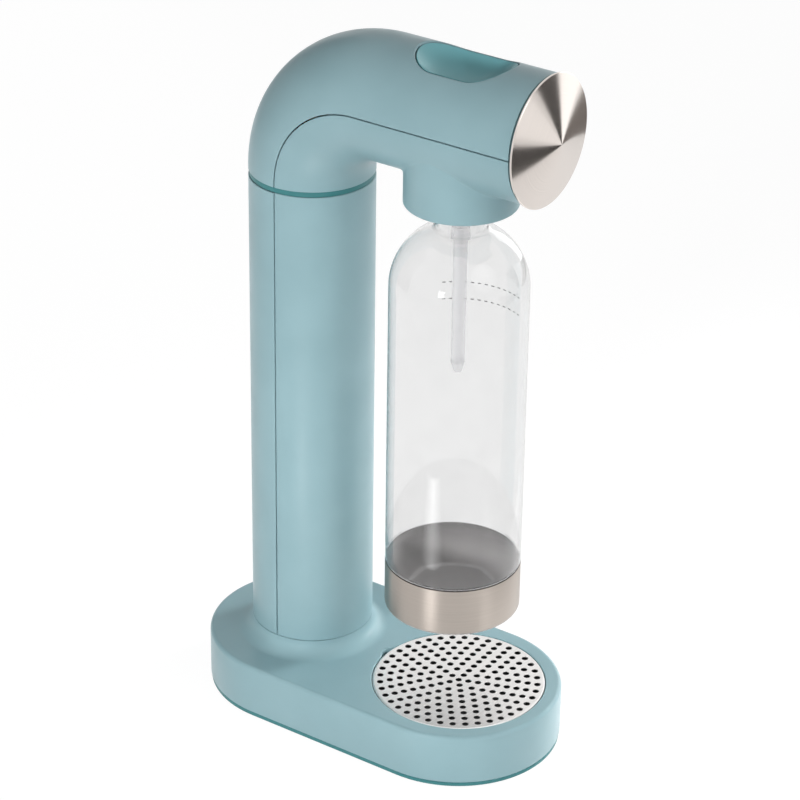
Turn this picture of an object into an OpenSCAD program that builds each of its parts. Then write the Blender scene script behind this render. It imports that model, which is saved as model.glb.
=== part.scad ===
// Counter-top sparkling water maker: a stadium base with a drip grid, a round column that holds the gas
// cylinder, and a bent arm with a press button over a screw-in bottle. Millimetres, +Z up, front is -Y.
// The origin is on the table, at the middle of the base.

/* [Base] */
// Length of the base, front to back
base_len = 229; // [215:1:245]
// Width of the base
base_w = 124; // [118:1:134]
// Height of the base's top face above the table
base_h = 34.5; // [32:0.5:42]
// Wall of the base moulding
base_wall = 3; // [2:0.5:4]
// Radius of the base's top edge
base_edge = 2.5; // [1:0.5:2.5]
// Height of the dark bottom plate
plate_h = 2.6; // [2.2:0.1:4]
// How far the bottom plate stands in from the base's side
plate_inset = 0.4; // [0.2:0.1:1.5]
// How far the rubber feet stand below the plate
foot_h = 0.8; // [0.5:0.1:3]
// Depth of a foot's pocket in the plate
foot_pocket = 0.6; // [0.4:0.1:1]
// Radius of a rubber foot
foot_r = 9; // [6:0.5:11]
// Distance of the feet from the centres of the base's round ends
foot_ring = 46; // [40:1:49]
// Height and radius of the concave skirt between base and column
skirt_h = 9.5; // [7:0.5:12]

/* [Drip tray] */
// Radius of the drip grid
grid_r = 51; // [46:0.5:53]
// Thickness of the grid's sheet
grid_t = 1.3; // [1:0.1:2]
// Depth of the grid's turned-down edge
grid_edge = 4; // [3:0.5:6]
// How far the grid's centre lies in front of the base's front arc centre
grid_shift = 1.7; // [0:0.1:3]
// Radial step between the rings of holes
hole_pitch = 5.8; // [5.2:0.1:6]
// Radius of a drain hole
hole_r = 1.8; // [1.2:0.1:2.2]
// Rings of holes around the middle one
hole_rings = 8; // [4:1:8]
// Holes added with each ring
hole_step = 5; // [4:1:6]
// Bearing of the first straight row of holes, in degrees
hole_turn = 218.6; // [0:0.1:360]
// Depth of the drip pan
pan_h = 19; // [14:0.5:20]
// Wall of the drip pan
pan_wall = 1.6; // [1.2:0.1:2.5]
// Radius of the finger notch behind the grid
notch_r = 8; // [6:0.5:10]
// Depth of the finger notch
notch_h = 6; // [4:0.5:8]
// How far the finger notch reaches out behind the grid
notch_out = 3; // [2:0.5:4]

/* [Column] */
// Wall of the column and head shells
shell_t = 2.5; // [2:0.1:2.6]
// Width of the visible parting lines
seam = 0.4; // [0.3:0.1:0.8]
// Height of the dark band between column and head
band_h = 3.2; // [2:0.1:5]
// How far the band stands in from the shells
band_inset = 0.6; // [0.3:0.1:1.2]
// Thickness of the steel spine
spine_t = 2; // [1.6:0.1:2]
// Half of the angle that the spine wraps around the front, in degrees
spine_half = 75; // [60:1:76]
// Radius of the spine's foot flange
flange_r = 46; // [42:1:49]
// Thickness of the spine's foot flange
flange_t = 4; // [3:0.5:6]
// Length of a snap finger on the back cover
snap_len = 6; // [4:0.5:7]
// Height of a snap finger
snap_h = 10; // [6:1:16]
// Thickness of a snap finger
snap_t = 1.6; // [1.2:0.1:1.7]

/* [Gas cylinder] */
// Outside diameter of the gas cylinder
cyl_d = 60; // [59:0.5:64]
// Gap between the gas cylinder and the column's spine
cyl_gap = 1.2; // [1:0.1:2]
// Wall of the gas cylinder
cyl_wall = 3; // [2:0.5:5]
// Radius of the cylinder's neck
cyl_neck_r = 14; // [12.5:0.5:14.5]
// Height of the neck above the round shoulder's end
cyl_neck_h = 8; // [6:0.5:12]
// Radius of the valve's screw thread, crest
valve_r = 10.5; // [9.5:0.1:11]
// Depth of a thread
thread_depth = 1.2; // [0.8:0.1:1.5]
// Length of the valve's screw stem
valve_stem = 22; // [21:0.5:30]
// Height of the valve's six-sided body
valve_body_h = 16; // [14:0.5:20]
// Pitch of the valve and bottle threads
pitch = 4; // [3:0.5:5]
// Thickness of the rubber pad under the cylinder
pad_t = 1.8; // [1:0.2:2]
// Turns that undo the gas valve's thread
undo_turns = 2; // [1:0.25:2]

/* [Head] */
// Height of the arm's centre line
arm_z = 390.5; // [375:0.5:410]
// Radius of the bend's centre line
bend_r = 53; // [50:0.5:56]
// Straight length of the head between the band and the bend
stub_h = 1.9; // [1:0.1:4]
// How far the arm's open end lies from the column's axis
arm_reach = 153.5; // [150:0.5:165]
// How far the front disc stands out past the arm all round
disc_over = 1.3; // [0.5:0.1:3]
// Depth of the disc's cone
disc_cone = 7.7; // [4:0.1:9]
// Thickness of the disc's sheet
disc_t = 1.1; // [0.8:0.1:1.5]
// Gap between arm and disc
disc_gap = 0.6; // [0.4:0.1:1.2]
// Length of the disc carrier's spigot
spigot_len = 6; // [4:0.5:8]
// Radius of the boss over the bottle
boss_r = 32; // [30.5:0.5:34]
// How far the boss's lower face lies below the arm's centre line
boss_drop = 49.8; // [47:0.1:54]
// Thickness of the boss's floor
boss_floor = 2.6; // [2:0.1:3.2]

/* [Button] */
// Length of the button's opening
btn_len = 58.7; // [54:0.1:60]
// Width of the button's opening
btn_w = 39.4; // [37:0.1:41]
// How far the button's middle lies in front of the bottle's axis
btn_ahead = 1.5; // [0:0.1:4]
// Depth of the finger dish below the arm's crest
dish_depth = 14.5; // [11:0.1:16]
// Travel of the button
btn_press = 7; // [5:0.1:7]
// Thickness of the button's floor
btn_floor = 3; // [2:0.1:4]
// Depth of the pocket under the button's floor
btn_pocket = 5; // [3:0.1:6]
// Radius of the button's stem
stem_r = 4; // [3:0.1:5]
// Wall of the button's guide
guide_wall = 2.5; // [2:0.1:3]

/* [Lever and plunger] */
// Width of the lever
lever_w = 10; // [8:0.5:12]
// Depth of the lever's bar
lever_h = 8; // [6:0.5:9]
// Distance of the lever's pivot behind the plunger
lever_back = 19; // [18:0.5:20]
// Radius of the lever's eye
eye_r = 4.5; // [4:0.1:5]
// Radius of the lever's pin
pivot_r = 2; // [1.5:0.1:2.5]
// Radius of the plunger
plunger_r = 2.45; // [2:0.05:2.6]
// Radius of the plunger's head
plunger_head_r = 5.2; // [4.8:0.1:6]
// Thickness of the plunger's head
plunger_head_t = 2; // [1.5:0.1:3]

/* [Valve block] */
// Radius of the valve block's flange
block_flange_r = 21; // [20.5:0.5:22]
// Wall around the block's threaded bore
block_wall = 3.4; // [3:0.1:4]
// Thickness of the bracket plate
bracket_t = 3; // [2.5:0.1:4]
// Thickness of the flat gasket over the gas valve
gasket_t = 2; // [1.5:0.1:2.5]
// Height of the gas chamber in the block
chamber_h = 9; // [8:0.5:10]
// Radius of the gas chamber
chamber_r = 4.6; // [4.5:0.1:5]
// Thickness of the block's roof over the chamber
roof_t = 5; // [4:0.5:6]
// Radius of the gas tube
tube_r = 3; // [2.5:0.1:3.5]
// Wall of the gas tube
tube_wall = 1.2; // [0.8:0.1:1.4]
// Length of a tube fitting
fitting_len = 9; // [7:0.5:11]
// Wall of a tube fitting
fitting_wall = 1.8; // [1.4:0.1:2.2]

/* [Bottle] */
// Outside diameter of the bottle
bottle_d = 78.6; // [74:0.1:80]
// Distance of the bottle's axis behind the arm's open end
bottle_back = 53; // [50:0.5:55]
// Height of the bottle, with its cup
bottle_h = 273.5; // [262:0.5:276]
// Wall of the bottle
bottle_wall = 1.2; // [0.8:0.1:2]
// Outside radius of the bottle's neck
neck_r = 15; // [14:0.1:15.5]
// Inside radius of the bottle's neck
mouth_r = 12.6; // [10.5:0.1:13]
// Length of the neck above the shoulder
neck_len = 34; // [30:0.5:38]
// How far the neck reaches into the boss
neck_in = 19.7; // [18:0.1:22]
// Height of the steel cup
cup_h = 30; // [24:0.5:40]
// Wall of the steel cup
cup_wall = 0.7; // [0.5:0.1:1]
// Radius of the cup's lower edge
cup_edge = 2.5; // [1.5:0.1:3]

/* [Socket and nozzle] */
// Wall of the bottle socket
socket_wall = 3.4; // [2.8:0.1:3.6]
// Radius of the socket's flange
socket_flange_r = 28; // [27:0.1:28.4]
// Thickness of the socket's flange
socket_flange_t = 4; // [3:0.1:5]
// Thickness of the neck's rubber seal
seal_t = 2; // [1.5:0.1:3]
// Radius of the nozzle block
nozzle_block_r = 13; // [11:0.5:14]
// Outside radius of the nozzle tube
nozzle_r = 4; // [3:0.1:4.5]
// Bore radius of the nozzle tube
nozzle_bore = 1.5; // [1:0.1:2]
// Length of the nozzle tube below the boss
nozzle_len = 97; // [80:1:110]
// Radius of the collar on the nozzle
collar_r = 5.2; // [4.6:0.1:6]
// Height of the nozzle's collar
collar_h = 7.5; // [4:0.5:7.5]
// How far the collar's lower edge lies below the bottle's mouth
collar_drop = 40.4; // [40.4:0.1:50]
// Length of the nozzle's tip
tip_len = 6; // [4:0.5:9]
// Radius of the relief valve's barrel
relief_r = 5; // [4.5:0.1:6]
// Length of the relief valve's barrel
relief_len = 14; // [12:0.5:18]

/* [Fasteners and fits] */
// Radius of a screw's shank
screw_r = 1.5; // [1.2:0.1:1.6]
// Radius of a screw's head
screw_head_r = 2.8; // [2.4:0.1:3]
// Height of a screw's head
screw_head_h = 1.6; // [1.2:0.1:1.7]
// Length of a short screw
short_screw = 6; // [5.6:0.1:6.5]
// Length of a long screw
long_screw = 12; // [8:0.5:16]
// Radius of a screw post
post_r = 4.5; // [4:0.1:5]
// Clearance between pieces that move past each other
fit = 0.3; // [0.2:0.05:0.4]
// Radial play of a pin, screw or tube in its hole
pin_fit = 0.05; // [0.02:0.01:0.1]

/* [Hidden] */
$fn = 96;
cut = 1;                                  // how far a cutting shape runs past the face that it cuts
thread_gap = 0.4;                         // between the ridges of two mating threads and their walls
thread_root = 0.2;                        // how far a thread's ridge stands in its wall
rest_gap = 0.2;                           // between a spring's end, or a lever, and what it touches

// Colours of the finishes
teal = [0.56, 0.70, 0.73];
dark_teal = [0.19, 0.42, 0.42];
steel = [0.75, 0.73, 0.70];
zinc = [0.62, 0.64, 0.66];
brass = [0.78, 0.64, 0.35];
black = [0.12, 0.12, 0.13];
pale = [0.86, 0.87, 0.87];
clear = [0.92, 0.93, 0.93, 0.35];

// Plan positions
end_y = (base_len - base_w) / 2;          // centres of the base's round ends
col_y = end_y;                            // column axis
arm_end = col_y - arm_reach;              // plane of the arm's open end
bottle_y = arm_end + bottle_back;         // bottle and nozzle axis
btn_y = bottle_y - btn_ahead;             // middle of the button
grid_y = -end_y - grid_shift;             // middle of the drip grid

// Column and base levels
col_in = cyl_d / 2 + cyl_gap + spine_t + fit;
col_r = col_in + shell_t;                 // column and arm are one size of tube
disc_r = col_r + disc_over;
plate_top = foot_h + plate_h;
seat_z = base_h + skirt_h;                // top of the skirt, where the column stands
bend_y = col_y - bend_r;
bend_z = arm_z - bend_r;
head_z = bend_z - stub_h;                 // lower edge of the head
band_z = head_z - band_h;                 // lower edge of the dark band
spine_out = col_in - fit;
spine_in = spine_out - spine_t;

// Drip tray levels
grid_sink = 0.1;                          // the grid lies this far below the base's top
grid_top = base_h - grid_sink;
pan_top = grid_top - grid_t - fit;
pan_z = pan_top - pan_h;
pan_r = grid_r - grid_t - fit;            // the pan stands inside the grid's turned edge
well_r = grid_r + seam;
well_z = pan_z - fit;
well_wall = 2;
base_post_ring = base_w / 2 - base_wall - 2 * post_r;
base_post_turn = 40;                      // bearing of the rear screw posts
base_posts = [
    for (s = [-1, 1]) [s * base_post_ring, post_r],
    for (s = [-1, 1])
        [s * base_post_ring * cos(base_post_turn), col_y + base_post_ring * sin(base_post_turn)]
];
feet = [
    for (a = [225, 315]) [foot_ring * cos(a), -end_y + foot_ring * sin(a)],
    for (a = [12, 168]) [foot_ring * cos(a), end_y + foot_ring * sin(a)]
];
spine_screw_ring = (spine_out + flange_r) / 2;
spine_screws_at = [
    for (a = [225, 270, 315]) [spine_screw_ring * cos(a), col_y + spine_screw_ring * sin(a)]
];

// Gas valve stack, from the bracket plate up
bracket_rise = 5.5;                       // bracket plate above the start of the bend
bracket_z = bend_z + bracket_rise;
bracket_r = col_in - cut;
block_z = bracket_z + bracket_t;
valve_in = 18;                            // how far the gas valve reaches into its block
valve_top = block_z + valve_in;
gasket_z = valve_top + fit;
chamber_z = gasket_z + gasket_t + fit;
block_top = chamber_z + chamber_h + roof_t;
gas_z = chamber_z + chamber_h * 0.6;      // gas port's height
block_in = valve_r + thread_gap;
block_r = block_in + block_wall;
plunger_room = 6;                         // between the block's roof and the plunger's head
plunger_top = block_top + plunger_room + plunger_head_t;
drop_room = 0.8;                          // left over the pad when the cylinder is unscrewed
pin_r = 2;
pin_mouth_h = 4;                          // wider mouth of the pin's bore
pin_mouth_r = pin_r + 1;
pin_top = valve_top - cut;
valve_z = valve_top - valve_stem;         // shoulder of the gas valve
cyl_r = cyl_d / 2;
cyl_z = plate_top + pad_t + undo_turns * pitch + drop_room;
cyl_neck_z = valve_z - valve_body_h;      // where the valve sits on the cylinder's neck
valve_web = 2;                            // floor and roof of the valve's inner pocket
pin_collar_h = 4;
cyl_dome_z = cyl_neck_z - cyl_neck_h - sqrt(cyl_r * cyl_r - cyl_neck_r * cyl_neck_r);
bracket_post_r = 3.2;
bracket_post_ring = spine_in - bracket_post_r + cut;
bracket_posts = [for (a = [200, 270, 340]) [bracket_post_ring * cos(a), bracket_post_ring * sin(a)]];
block_screw_ring = (block_r + block_flange_r) / 2;
block_screws_at = [for (a = [30, 150, 270]) [block_screw_ring * cos(a), block_screw_ring * sin(a)]];
block_flange_t = 4;
fitting_step = 2;                         // step inside a fitting that stops the tube
lug_gap = 0.45;                           // between a lug's screw head and the spine
lug_ring = spine_in - screw_head_r - lug_gap;
lug_turn = 42.8;                          // where the lugs stand, from the sides towards the front
lug_x = lug_ring * cos(lug_turn);         // lugs that hold the head on the bracket
lug_y = -lug_ring * sin(lug_turn);
lug_screws_at = [[lug_x, lug_y], [-lug_x, lug_y]];
lug_t = 5;
lug_w = 7;
lug_tip = 3.2;                            // from a lug's screw to its free end
lug_len = 11;                             // from a lug's screw to the head's wall

// Button and lever levels
crest_z = arm_z + col_r;
dish_z = crest_z - dish_depth;
btn_bottom = dish_z - btn_floor - btn_pocket;
stem_len = 5.7;                           // the button's stem below its body
stem_z = btn_bottom - stem_len;
guide_drop = 4;                           // the guide's tube below the button's body
guide_z = btn_bottom - guide_drop;
spring_shut = 12;                         // length of a button spring at full press
shelf_z = btn_bottom - btn_press - spring_shut;
shelf_t = 2;
spring_x = 13.5;
guide_out = btn_w / 2 + guide_wall;
guide_lug_x = guide_out + post_r + rest_gap;
guide_lug_t = 3;
lever_front_z = stem_z - fit;
lever_under = plunger_top + rest_gap;
pivot_y = col_y + lever_back;
pivot_drop = 8.5;                         // lever's pivot below the block's roof
pivot_z = block_top - pivot_drop;
ear_x = lever_w / 2 + fit;                // inner faces of the block's ears, beside the lever
ear_t = 3;

// Bottle and nozzle levels
boss_z = arm_z - boss_drop;
neck_top = boss_z + neck_in;
cup_z = neck_top - bottle_h;
bottle_r = bottle_d / 2;
shoulder_z = neck_top - neck_len - sqrt(bottle_r * bottle_r - neck_r * neck_r);
cup_top = cup_z + cup_h;
vessel_low_r = bottle_r - cup_wall - rest_gap; // the bottle's lower end stands inside the cup
vessel_z = cup_z + cup_wall + fit;        // underside of the bottle's floor
seal_z = neck_top + fit;
socket_roof_z = seal_z + seal_t + fit;
socket_roof_t = 3;
socket_top = socket_roof_z + socket_roof_t;
socket_in = neck_r + thread_depth + thread_gap;
socket_out = socket_in + socket_wall;
socket_flange_z = boss_z + boss_floor;
socket_screw_ring = (socket_out + socket_flange_r) / 2;
nozzle_cover = 7.5;                       // metal over the gas port of the nozzle block
nozzle_top = gas_z + nozzle_cover;
nozzle_seat = 4;                          // how far the nozzle's tube stands in its block
nozzle_end = boss_z - nozzle_len;
relief_bore = 1;
relief_end = 1.5;                         // end walls of the relief valve's barrel
relief_wall = 1.7;
relief_in = relief_r - relief_wall;
poppet_h = 4;
thread_turns = 1.5;
ridge_w = 0.6 * pitch;                    // width of a thread's ridge at its root
thread_lead = 4;                          // plain end above a thread
neck_thread_z = neck_top - thread_turns * pitch - thread_lead;
valve_thread_z = valve_top - thread_turns * pitch - thread_lead;

// Head screws: one pair near the disc, one pair behind the boss
head_post_x = 14;
head_posts = [
    for (y = [arm_end + spigot_len + post_r + cut, bottle_y + boss_r + post_r + cut], s = [-1, 1])
        [s * head_post_x, y]
];
head_screw_drop = 14;                     // heads of the head's screws below the arm's centre line
head_screw_z = arm_z - head_screw_drop;

// Sides of a spring's wire and rings in each of its turns
spring_sides = 6;
spring_rings = 8;

// Plane outlines

// Rounded-end outline, its length along Y
module stadium(length, width) {
    square([width, length - width], center = true);
    for (s = [-1, 1]) translate([0, s * (length - width) / 2]) circle(d = width);
}

// Half of a ring, on the outside (1) or inside (-1) of the bend; x points away from the bend's centre
module half_ring(side, r_out, r_in) {
    difference() {
        circle(r_out);
        if (r_in > 0) circle(r_in);
        translate([side > 0 ? -2 * r_out + seam / 2 : -seam / 2, -r_out - cut])
            square([2 * r_out, 2 * r_out + 2 * cut]);
    }
}

// Right half of a disc, for turning about an axis
module half_disc(r) {
    difference() {
        circle(r);
        translate([-2 * r, -r - cut]) square([2 * r, 2 * r + 2 * cut]);
    }
}

// Shared solids

// Carries a plane outline up the head: out of the column, round the bend and along the arm
module along_head(over = 0) {
    translate([0, col_y, head_z - over]) rotate([0, 0, 90])
        linear_extrude(bend_z - head_z + over) children();
    translate([0, bend_y, bend_z]) rotate([90, 0, 90])
        rotate_extrude(angle = 90) translate([bend_r, 0]) children();
    translate([0, arm_end - over, arm_z]) rotate([-90, 0, 0]) rotate([0, 0, -90])
        linear_extrude(bend_y - arm_end + over) children();
}

// Arm-long cylinder about the arm's centre line
module arm_rod(r) {
    translate([0, bend_y, arm_z]) rotate([90, 0, 0]) cylinder(r = r, h = bend_y - arm_end);
}

// Machine screw with a hexagon socket, its head below the plane z = 0
module screw(length) {
    difference() {
        union() {
            cylinder(r = screw_r, h = length);
            translate([0, 0, -screw_head_h]) cylinder(r = screw_head_r, h = screw_head_h);
        }
        translate([0, 0, -screw_head_h - cut])
            cylinder(r = 0.9 * screw_r, h = cut + 0.6 * screw_head_h, $fn = 6);
    }
}

// Through hole with a counterbore for a screw's head, drilled from below the plane z = 0
module screw_hole(length, sink) {
    translate([0, 0, -cut]) cylinder(r = screw_r + pin_fit, h = length + cut);
    translate([0, 0, -screw_head_h - sink]) cylinder(r = screw_head_r + pin_fit, h = screw_head_h + sink);
}

// Corner of a swept section, turned to its bearing on a helix and lifted by the rise of each turn
function helix_point(r, z, bearing, rise) =
    [r * cos(bearing), r * sin(bearing), z + rise * bearing / 360];

// Faces of a tube of rings, each with the same number of sides, closed at both ends
function tube_faces(rings, sides) = concat(
    [for (i = [0:rings - 2], j = [0:sides - 1], half = [0, 1])
        let (a = i * sides + j, b = i * sides + (j + 1) % sides, c = a + sides, d = b + sides)
        half == 0 ? [a, d, b] : [a, c, d]],
    [[for (j = [0:sides - 1]) j], [for (j = [sides - 1:-1:0]) (rings - 1) * sides + j]]
);

// Coil spring of round wire standing on z = 0
module coil_spring(r, wire, height, turns) {
    rings = turns * spring_rings + 1;
    rise = (height - wire) / turns;
    half = wire / 2;
    side = 360 / spring_sides;
    points = [
        for (i = [0:rings - 1], j = [0:spring_sides - 1])
            helix_point(r + half * cos(-side * j), half * (1 + sin(-side * j)), 360 * i / spring_rings, rise)
    ];
    echo(least_gap_between_turns = min([
        for (i = [0:spring_sides - 1], j = [0:spring_sides - 1])
            norm(points[i] - points[spring_rings * spring_sides + j])
    ]));
    polyhedron(points, tube_faces(rings, spring_sides));
}

// Screw-thread ridge around the Z axis: base and tip are radii, the tip is half as wide as the base.
// An inside thread, whose tip is nearer the axis, runs round its section the other way.
module thread_ridge(base, tip) {
    steps = 24;
    rings = thread_turns * steps + 1;
    half = (tip > base ? ridge_w : -ridge_w) / 2;
    section = [[base, -half], [base, half], [tip, half / 2], [tip, -half / 2]];
    points = [
        for (i = [0:rings - 1], p = section) helix_point(p[0], p[1], 360 * i / steps, pitch)
    ];
    polyhedron(points, tube_faces(rings, len(section)));
}

// Base

// Rounded-edge section of the base, right half
module base_section() {
    translate([0, plate_top]) square([base_w / 2, base_h - base_edge - plate_top]);
    translate([0, plate_top]) square([base_w / 2 - base_edge, base_h - plate_top]);
    translate([base_w / 2 - base_edge, base_h - base_edge]) circle(base_edge);
}

// Solid outside of the base, with its two round ends
module base_block() {
    for (a = [0, 180]) rotate([0, 0, a]) translate([0, end_y, 0])
        rotate_extrude(angle = 180) base_section();
    translate([0, end_y, 0]) rotate([90, 0, 0]) linear_extrude(2 * end_y) {
        base_section();
        mirror([1, 0]) base_section();
    }
}

// Concave skirt that carries the base's top up into the column
module base_skirt() {
    translate([0, col_y, 0]) rotate_extrude() difference() {
        translate([col_in, base_h - base_wall]) square([shell_t + skirt_h, base_wall + skirt_h]);
        translate([col_r + skirt_h, seat_z]) circle(skirt_h);
    }
}

// Base moulding: top, side wall, skirt, the well for the drip pan and the screw posts
module base_shell() {
    color(teal) difference() {
        union() {
            base_block();
            base_skirt();
        }
        difference() {
            translate([0, 0, plate_top - cut]) linear_extrude(base_h - base_wall - plate_top + cut)
                stadium(base_len - 2 * base_wall, base_w - 2 * base_wall);
            translate([0, grid_y, well_z - well_wall]) cylinder(r = well_r + well_wall, h = base_h);
            for (p = base_posts) translate([p[0], p[1], plate_top]) cylinder(r = post_r, h = base_h);
        }
        translate([0, grid_y, well_z]) cylinder(r = well_r, h = base_h);
        translate([0, grid_y + grid_r + notch_out - notch_r, base_h - notch_h])
            cylinder(r = notch_r, h = base_h);
        translate([0, col_y, plate_top]) cylinder(r = col_in, h = seat_z);
        for (p = base_posts) translate([p[0], p[1], plate_top - cut])
            cylinder(r = screw_r + pin_fit, h = long_screw + 2 * cut);
    }
}

// Bottom plate, drilled for the base's and the spine's screws, with pockets for the feet
module base_plate() {
    color(dark_teal) difference() {
        translate([0, 0, foot_h]) linear_extrude(plate_h)
            stadium(base_len - 2 * plate_inset, base_w - 2 * plate_inset);
        for (p = feet) translate([p[0], p[1], 0]) cylinder(r = foot_r + pin_fit, h = foot_h + foot_pocket);
        for (p = concat(base_posts, spine_screws_at))
            translate([p[0], p[1], foot_h + screw_head_h]) screw_hole(plate_h + cut, cut);
    }
}

// Four round rubber feet
module rubber_feet() {
    color(black) for (p = feet) translate([p[0], p[1], 0]) cylinder(r = foot_r, h = foot_h + foot_pocket);
}

// Screws that hold the bottom plate to the base moulding
module base_screws() {
    color(zinc) for (p = base_posts) translate([p[0], p[1], foot_h + screw_head_h]) screw(long_screw);
}

// Drip pan, a plain round cup
module drip_pan() {
    color(black) translate([0, grid_y, pan_z]) difference() {
        cylinder(r = pan_r, h = pan_h);
        translate([0, 0, pan_wall]) cylinder(r = pan_r - pan_wall, h = pan_h);
    }
}

// Pressed steel grid with rings of holes and a turned-down edge around the pan's rim
module drip_grid() {
    color(steel) translate([0, grid_y, grid_top - grid_t]) {
        linear_extrude(grid_t) difference() {
            circle(grid_r);
            circle(hole_r);
            for (ring = [1:hole_rings], i = [0:ring * hole_step - 1])
                rotate(hole_turn + 360 * i / (ring * hole_step))
                    translate([ring * hole_pitch, 0]) circle(hole_r);
        }
        translate([0, 0, grid_t - grid_edge]) difference() {
            cylinder(r = grid_r, h = grid_edge - grid_t);
            translate([0, 0, -cut]) cylinder(r = grid_r - grid_t, h = grid_edge + 2 * cut);
        }
    }
}

// Column

// Steel spine: a long channel behind the column's front, with a foot flange and posts for the bracket
module spine() {
    color(zinc) translate([0, col_y, 0]) difference() {
        union() {
            rotate([0, 0, 270 - spine_half]) rotate_extrude(angle = 2 * spine_half) {
                translate([spine_in, plate_top]) square([spine_t, bracket_z - plate_top]);
                translate([spine_in, plate_top]) square([flange_r - spine_in, flange_t]);
            }
            for (p = bracket_posts) translate([p[0], p[1], bracket_z - 2 * short_screw])
                cylinder(r = bracket_post_r, h = 2 * short_screw);
        }
        for (p = bracket_posts) translate([p[0], p[1], bracket_z - short_screw])
            cylinder(r = screw_r + pin_fit, h = short_screw + cut);
        for (p = spine_screws_at) translate([p[0], p[1] - col_y, plate_top - cut])
            cylinder(r = screw_r + pin_fit, h = flange_t + 2 * cut);
    }
}

// Screws that hold the spine's flange to the bottom plate
module spine_screws() {
    color(zinc) for (p = spine_screws_at) translate([p[0], p[1], foot_h + screw_head_h]) screw(short_screw);
}

// Front half of the column's tube
module column_front_shell() {
    color(teal) translate([0, col_y, seat_z + seam]) rotate([0, 0, 90])
        linear_extrude(band_z - seat_z - seam) half_ring(-1, col_r, col_in);
}

// Back half of the column's tube, with snap fingers that reach behind the front half's edges
module column_back_cover() {
    cover_h = band_z - fit - seat_z - seam;
    snap_x = sqrt(col_in * col_in - snap_len * snap_len) - fit - snap_t;
    snap_root = 12;
    color(teal) translate([0, col_y, seat_z + seam]) {
        rotate([0, 0, 90]) linear_extrude(cover_h) half_ring(1, col_r, col_in);
        for (side = [-1, 1], z = [3 * snap_h, cover_h - 3 * snap_h]) intersection() {
            translate([side > 0 ? snap_x : -snap_x - snap_t, -snap_len, z])
                cube([snap_t, snap_len + snap_root, snap_h]);
            cylinder(r = col_in + shell_t / 2, h = cover_h);
        }
    }
}

// Dark ring between column and head
module column_band() {
    color(dark_teal) translate([0, col_y, band_z]) linear_extrude(band_h) difference() {
        circle(col_r - band_inset);
        circle(col_in);
    }
}

// Rubber pad on the bottom plate, under the gas cylinder
module cylinder_pad() {
    color(black) translate([0, col_y, plate_top]) cylinder(r = cyl_r - 2 * cyl_wall, h = pad_t);
}

// Gas cylinder

// Outside of the cylinder, or its hollow when shrunk by a wall
module cylinder_outline(wall) {
    translate([0, cyl_z + wall]) square([cyl_r - wall, cyl_dome_z - cyl_z - wall]);
    translate([0, cyl_dome_z]) half_disc(cyl_r - wall);
}

// Aluminium gas cylinder with a round shoulder and a neck
module co2_cylinder() {
    color(zinc) translate([0, col_y, 0]) rotate_extrude() difference() {
        union() {
            cylinder_outline(0);
            translate([0, cyl_dome_z]) square([cyl_neck_r, cyl_neck_z - cyl_dome_z]);
        }
        cylinder_outline(cyl_wall);
        translate([0, cyl_dome_z]) square([cyl_neck_r - 2 * cyl_wall, cyl_neck_z - cyl_dome_z + cut]);
    }
}

// Brass valve on the cylinder's neck: a six-sided body, a threaded stem and the pin's bore
module cylinder_valve() {
    color(brass) translate([0, col_y, 0]) difference() {
        union() {
            translate([0, 0, cyl_neck_z]) cylinder(r = cyl_neck_r, h = valve_z - cyl_neck_z, $fn = 6);
            translate([0, 0, cyl_neck_z])
                cylinder(r = valve_r - thread_depth, h = valve_top - cyl_neck_z);
            translate([0, 0, valve_thread_z])
                thread_ridge(valve_r - thread_depth - thread_root, valve_r);
        }
        translate([0, 0, valve_z - valve_web - cut])
            cylinder(r = pin_r + pin_fit, h = valve_stem + valve_web + 2 * cut);
        translate([0, 0, cyl_neck_z + valve_web])
            cylinder(r = 2.5 * pin_r, h = valve_body_h - 2 * valve_web);
        translate([0, 0, cyl_neck_z - cut]) cylinder(r = pin_r, h = valve_web + 2 * cut);
        translate([0, 0, valve_top - pin_mouth_h]) cylinder(r = pin_mouth_r, h = pin_mouth_h + cut);
    }
}

// Pin that opens the gas valve when it is pushed down, with a sealing collar at its foot
module cylinder_pin() {
    color(steel) translate([0, col_y, 0]) {
        translate([0, 0, valve_z - pin_collar_h]) cylinder(r = pin_r, h = pin_top - valve_z + pin_collar_h);
        translate([0, 0, valve_z - valve_web - fit - pin_collar_h])
            cylinder(r = 2 * pin_r, h = pin_collar_h);
    }
}

// Spring that closes the gas valve
module pin_spring() {
    color(zinc) translate([0, col_y, cyl_neck_z + valve_web + fit / 2])
        coil_spring(1.6 * pin_r, 0.8, valve_body_h - 2 * valve_web - pin_collar_h - 2 * fit, 3);
}

// Flat gasket between the gas valve and the valve block
module cylinder_seal() {
    color(black) translate([0, col_y, gasket_z]) difference() {
        cylinder(r = valve_r - thread_depth, h = gasket_t);
        translate([0, 0, -cut]) cylinder(r = chamber_r, h = gasket_t + 2 * cut);
    }
}

// Valve block and its drive

// Plate on the spine's top that carries the valve block and the head
module valve_bracket() {
    color(zinc) translate([0, col_y, bracket_z]) difference() {
        cylinder(r = bracket_r, h = bracket_t);
        translate([0, 0, -cut]) cylinder(r = cyl_neck_r + cut, h = bracket_t + 2 * cut);
        for (p = concat(bracket_posts, block_screws_at, lug_screws_at))
            translate([p[0], p[1], -cut]) cylinder(r = screw_r + pin_fit, h = bracket_t + 2 * cut);
    }
}

// Screws of the bracket: down into the spine's posts, up into the block's flange and the head's lugs
module bracket_screws() {
    color(zinc) translate([0, col_y, bracket_z]) {
        for (p = bracket_posts) translate([p[0], p[1], bracket_t]) mirror([0, 0, 1]) screw(short_screw);
        for (p = concat(block_screws_at, lug_screws_at)) translate(p) screw(short_screw);
    }
}

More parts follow.
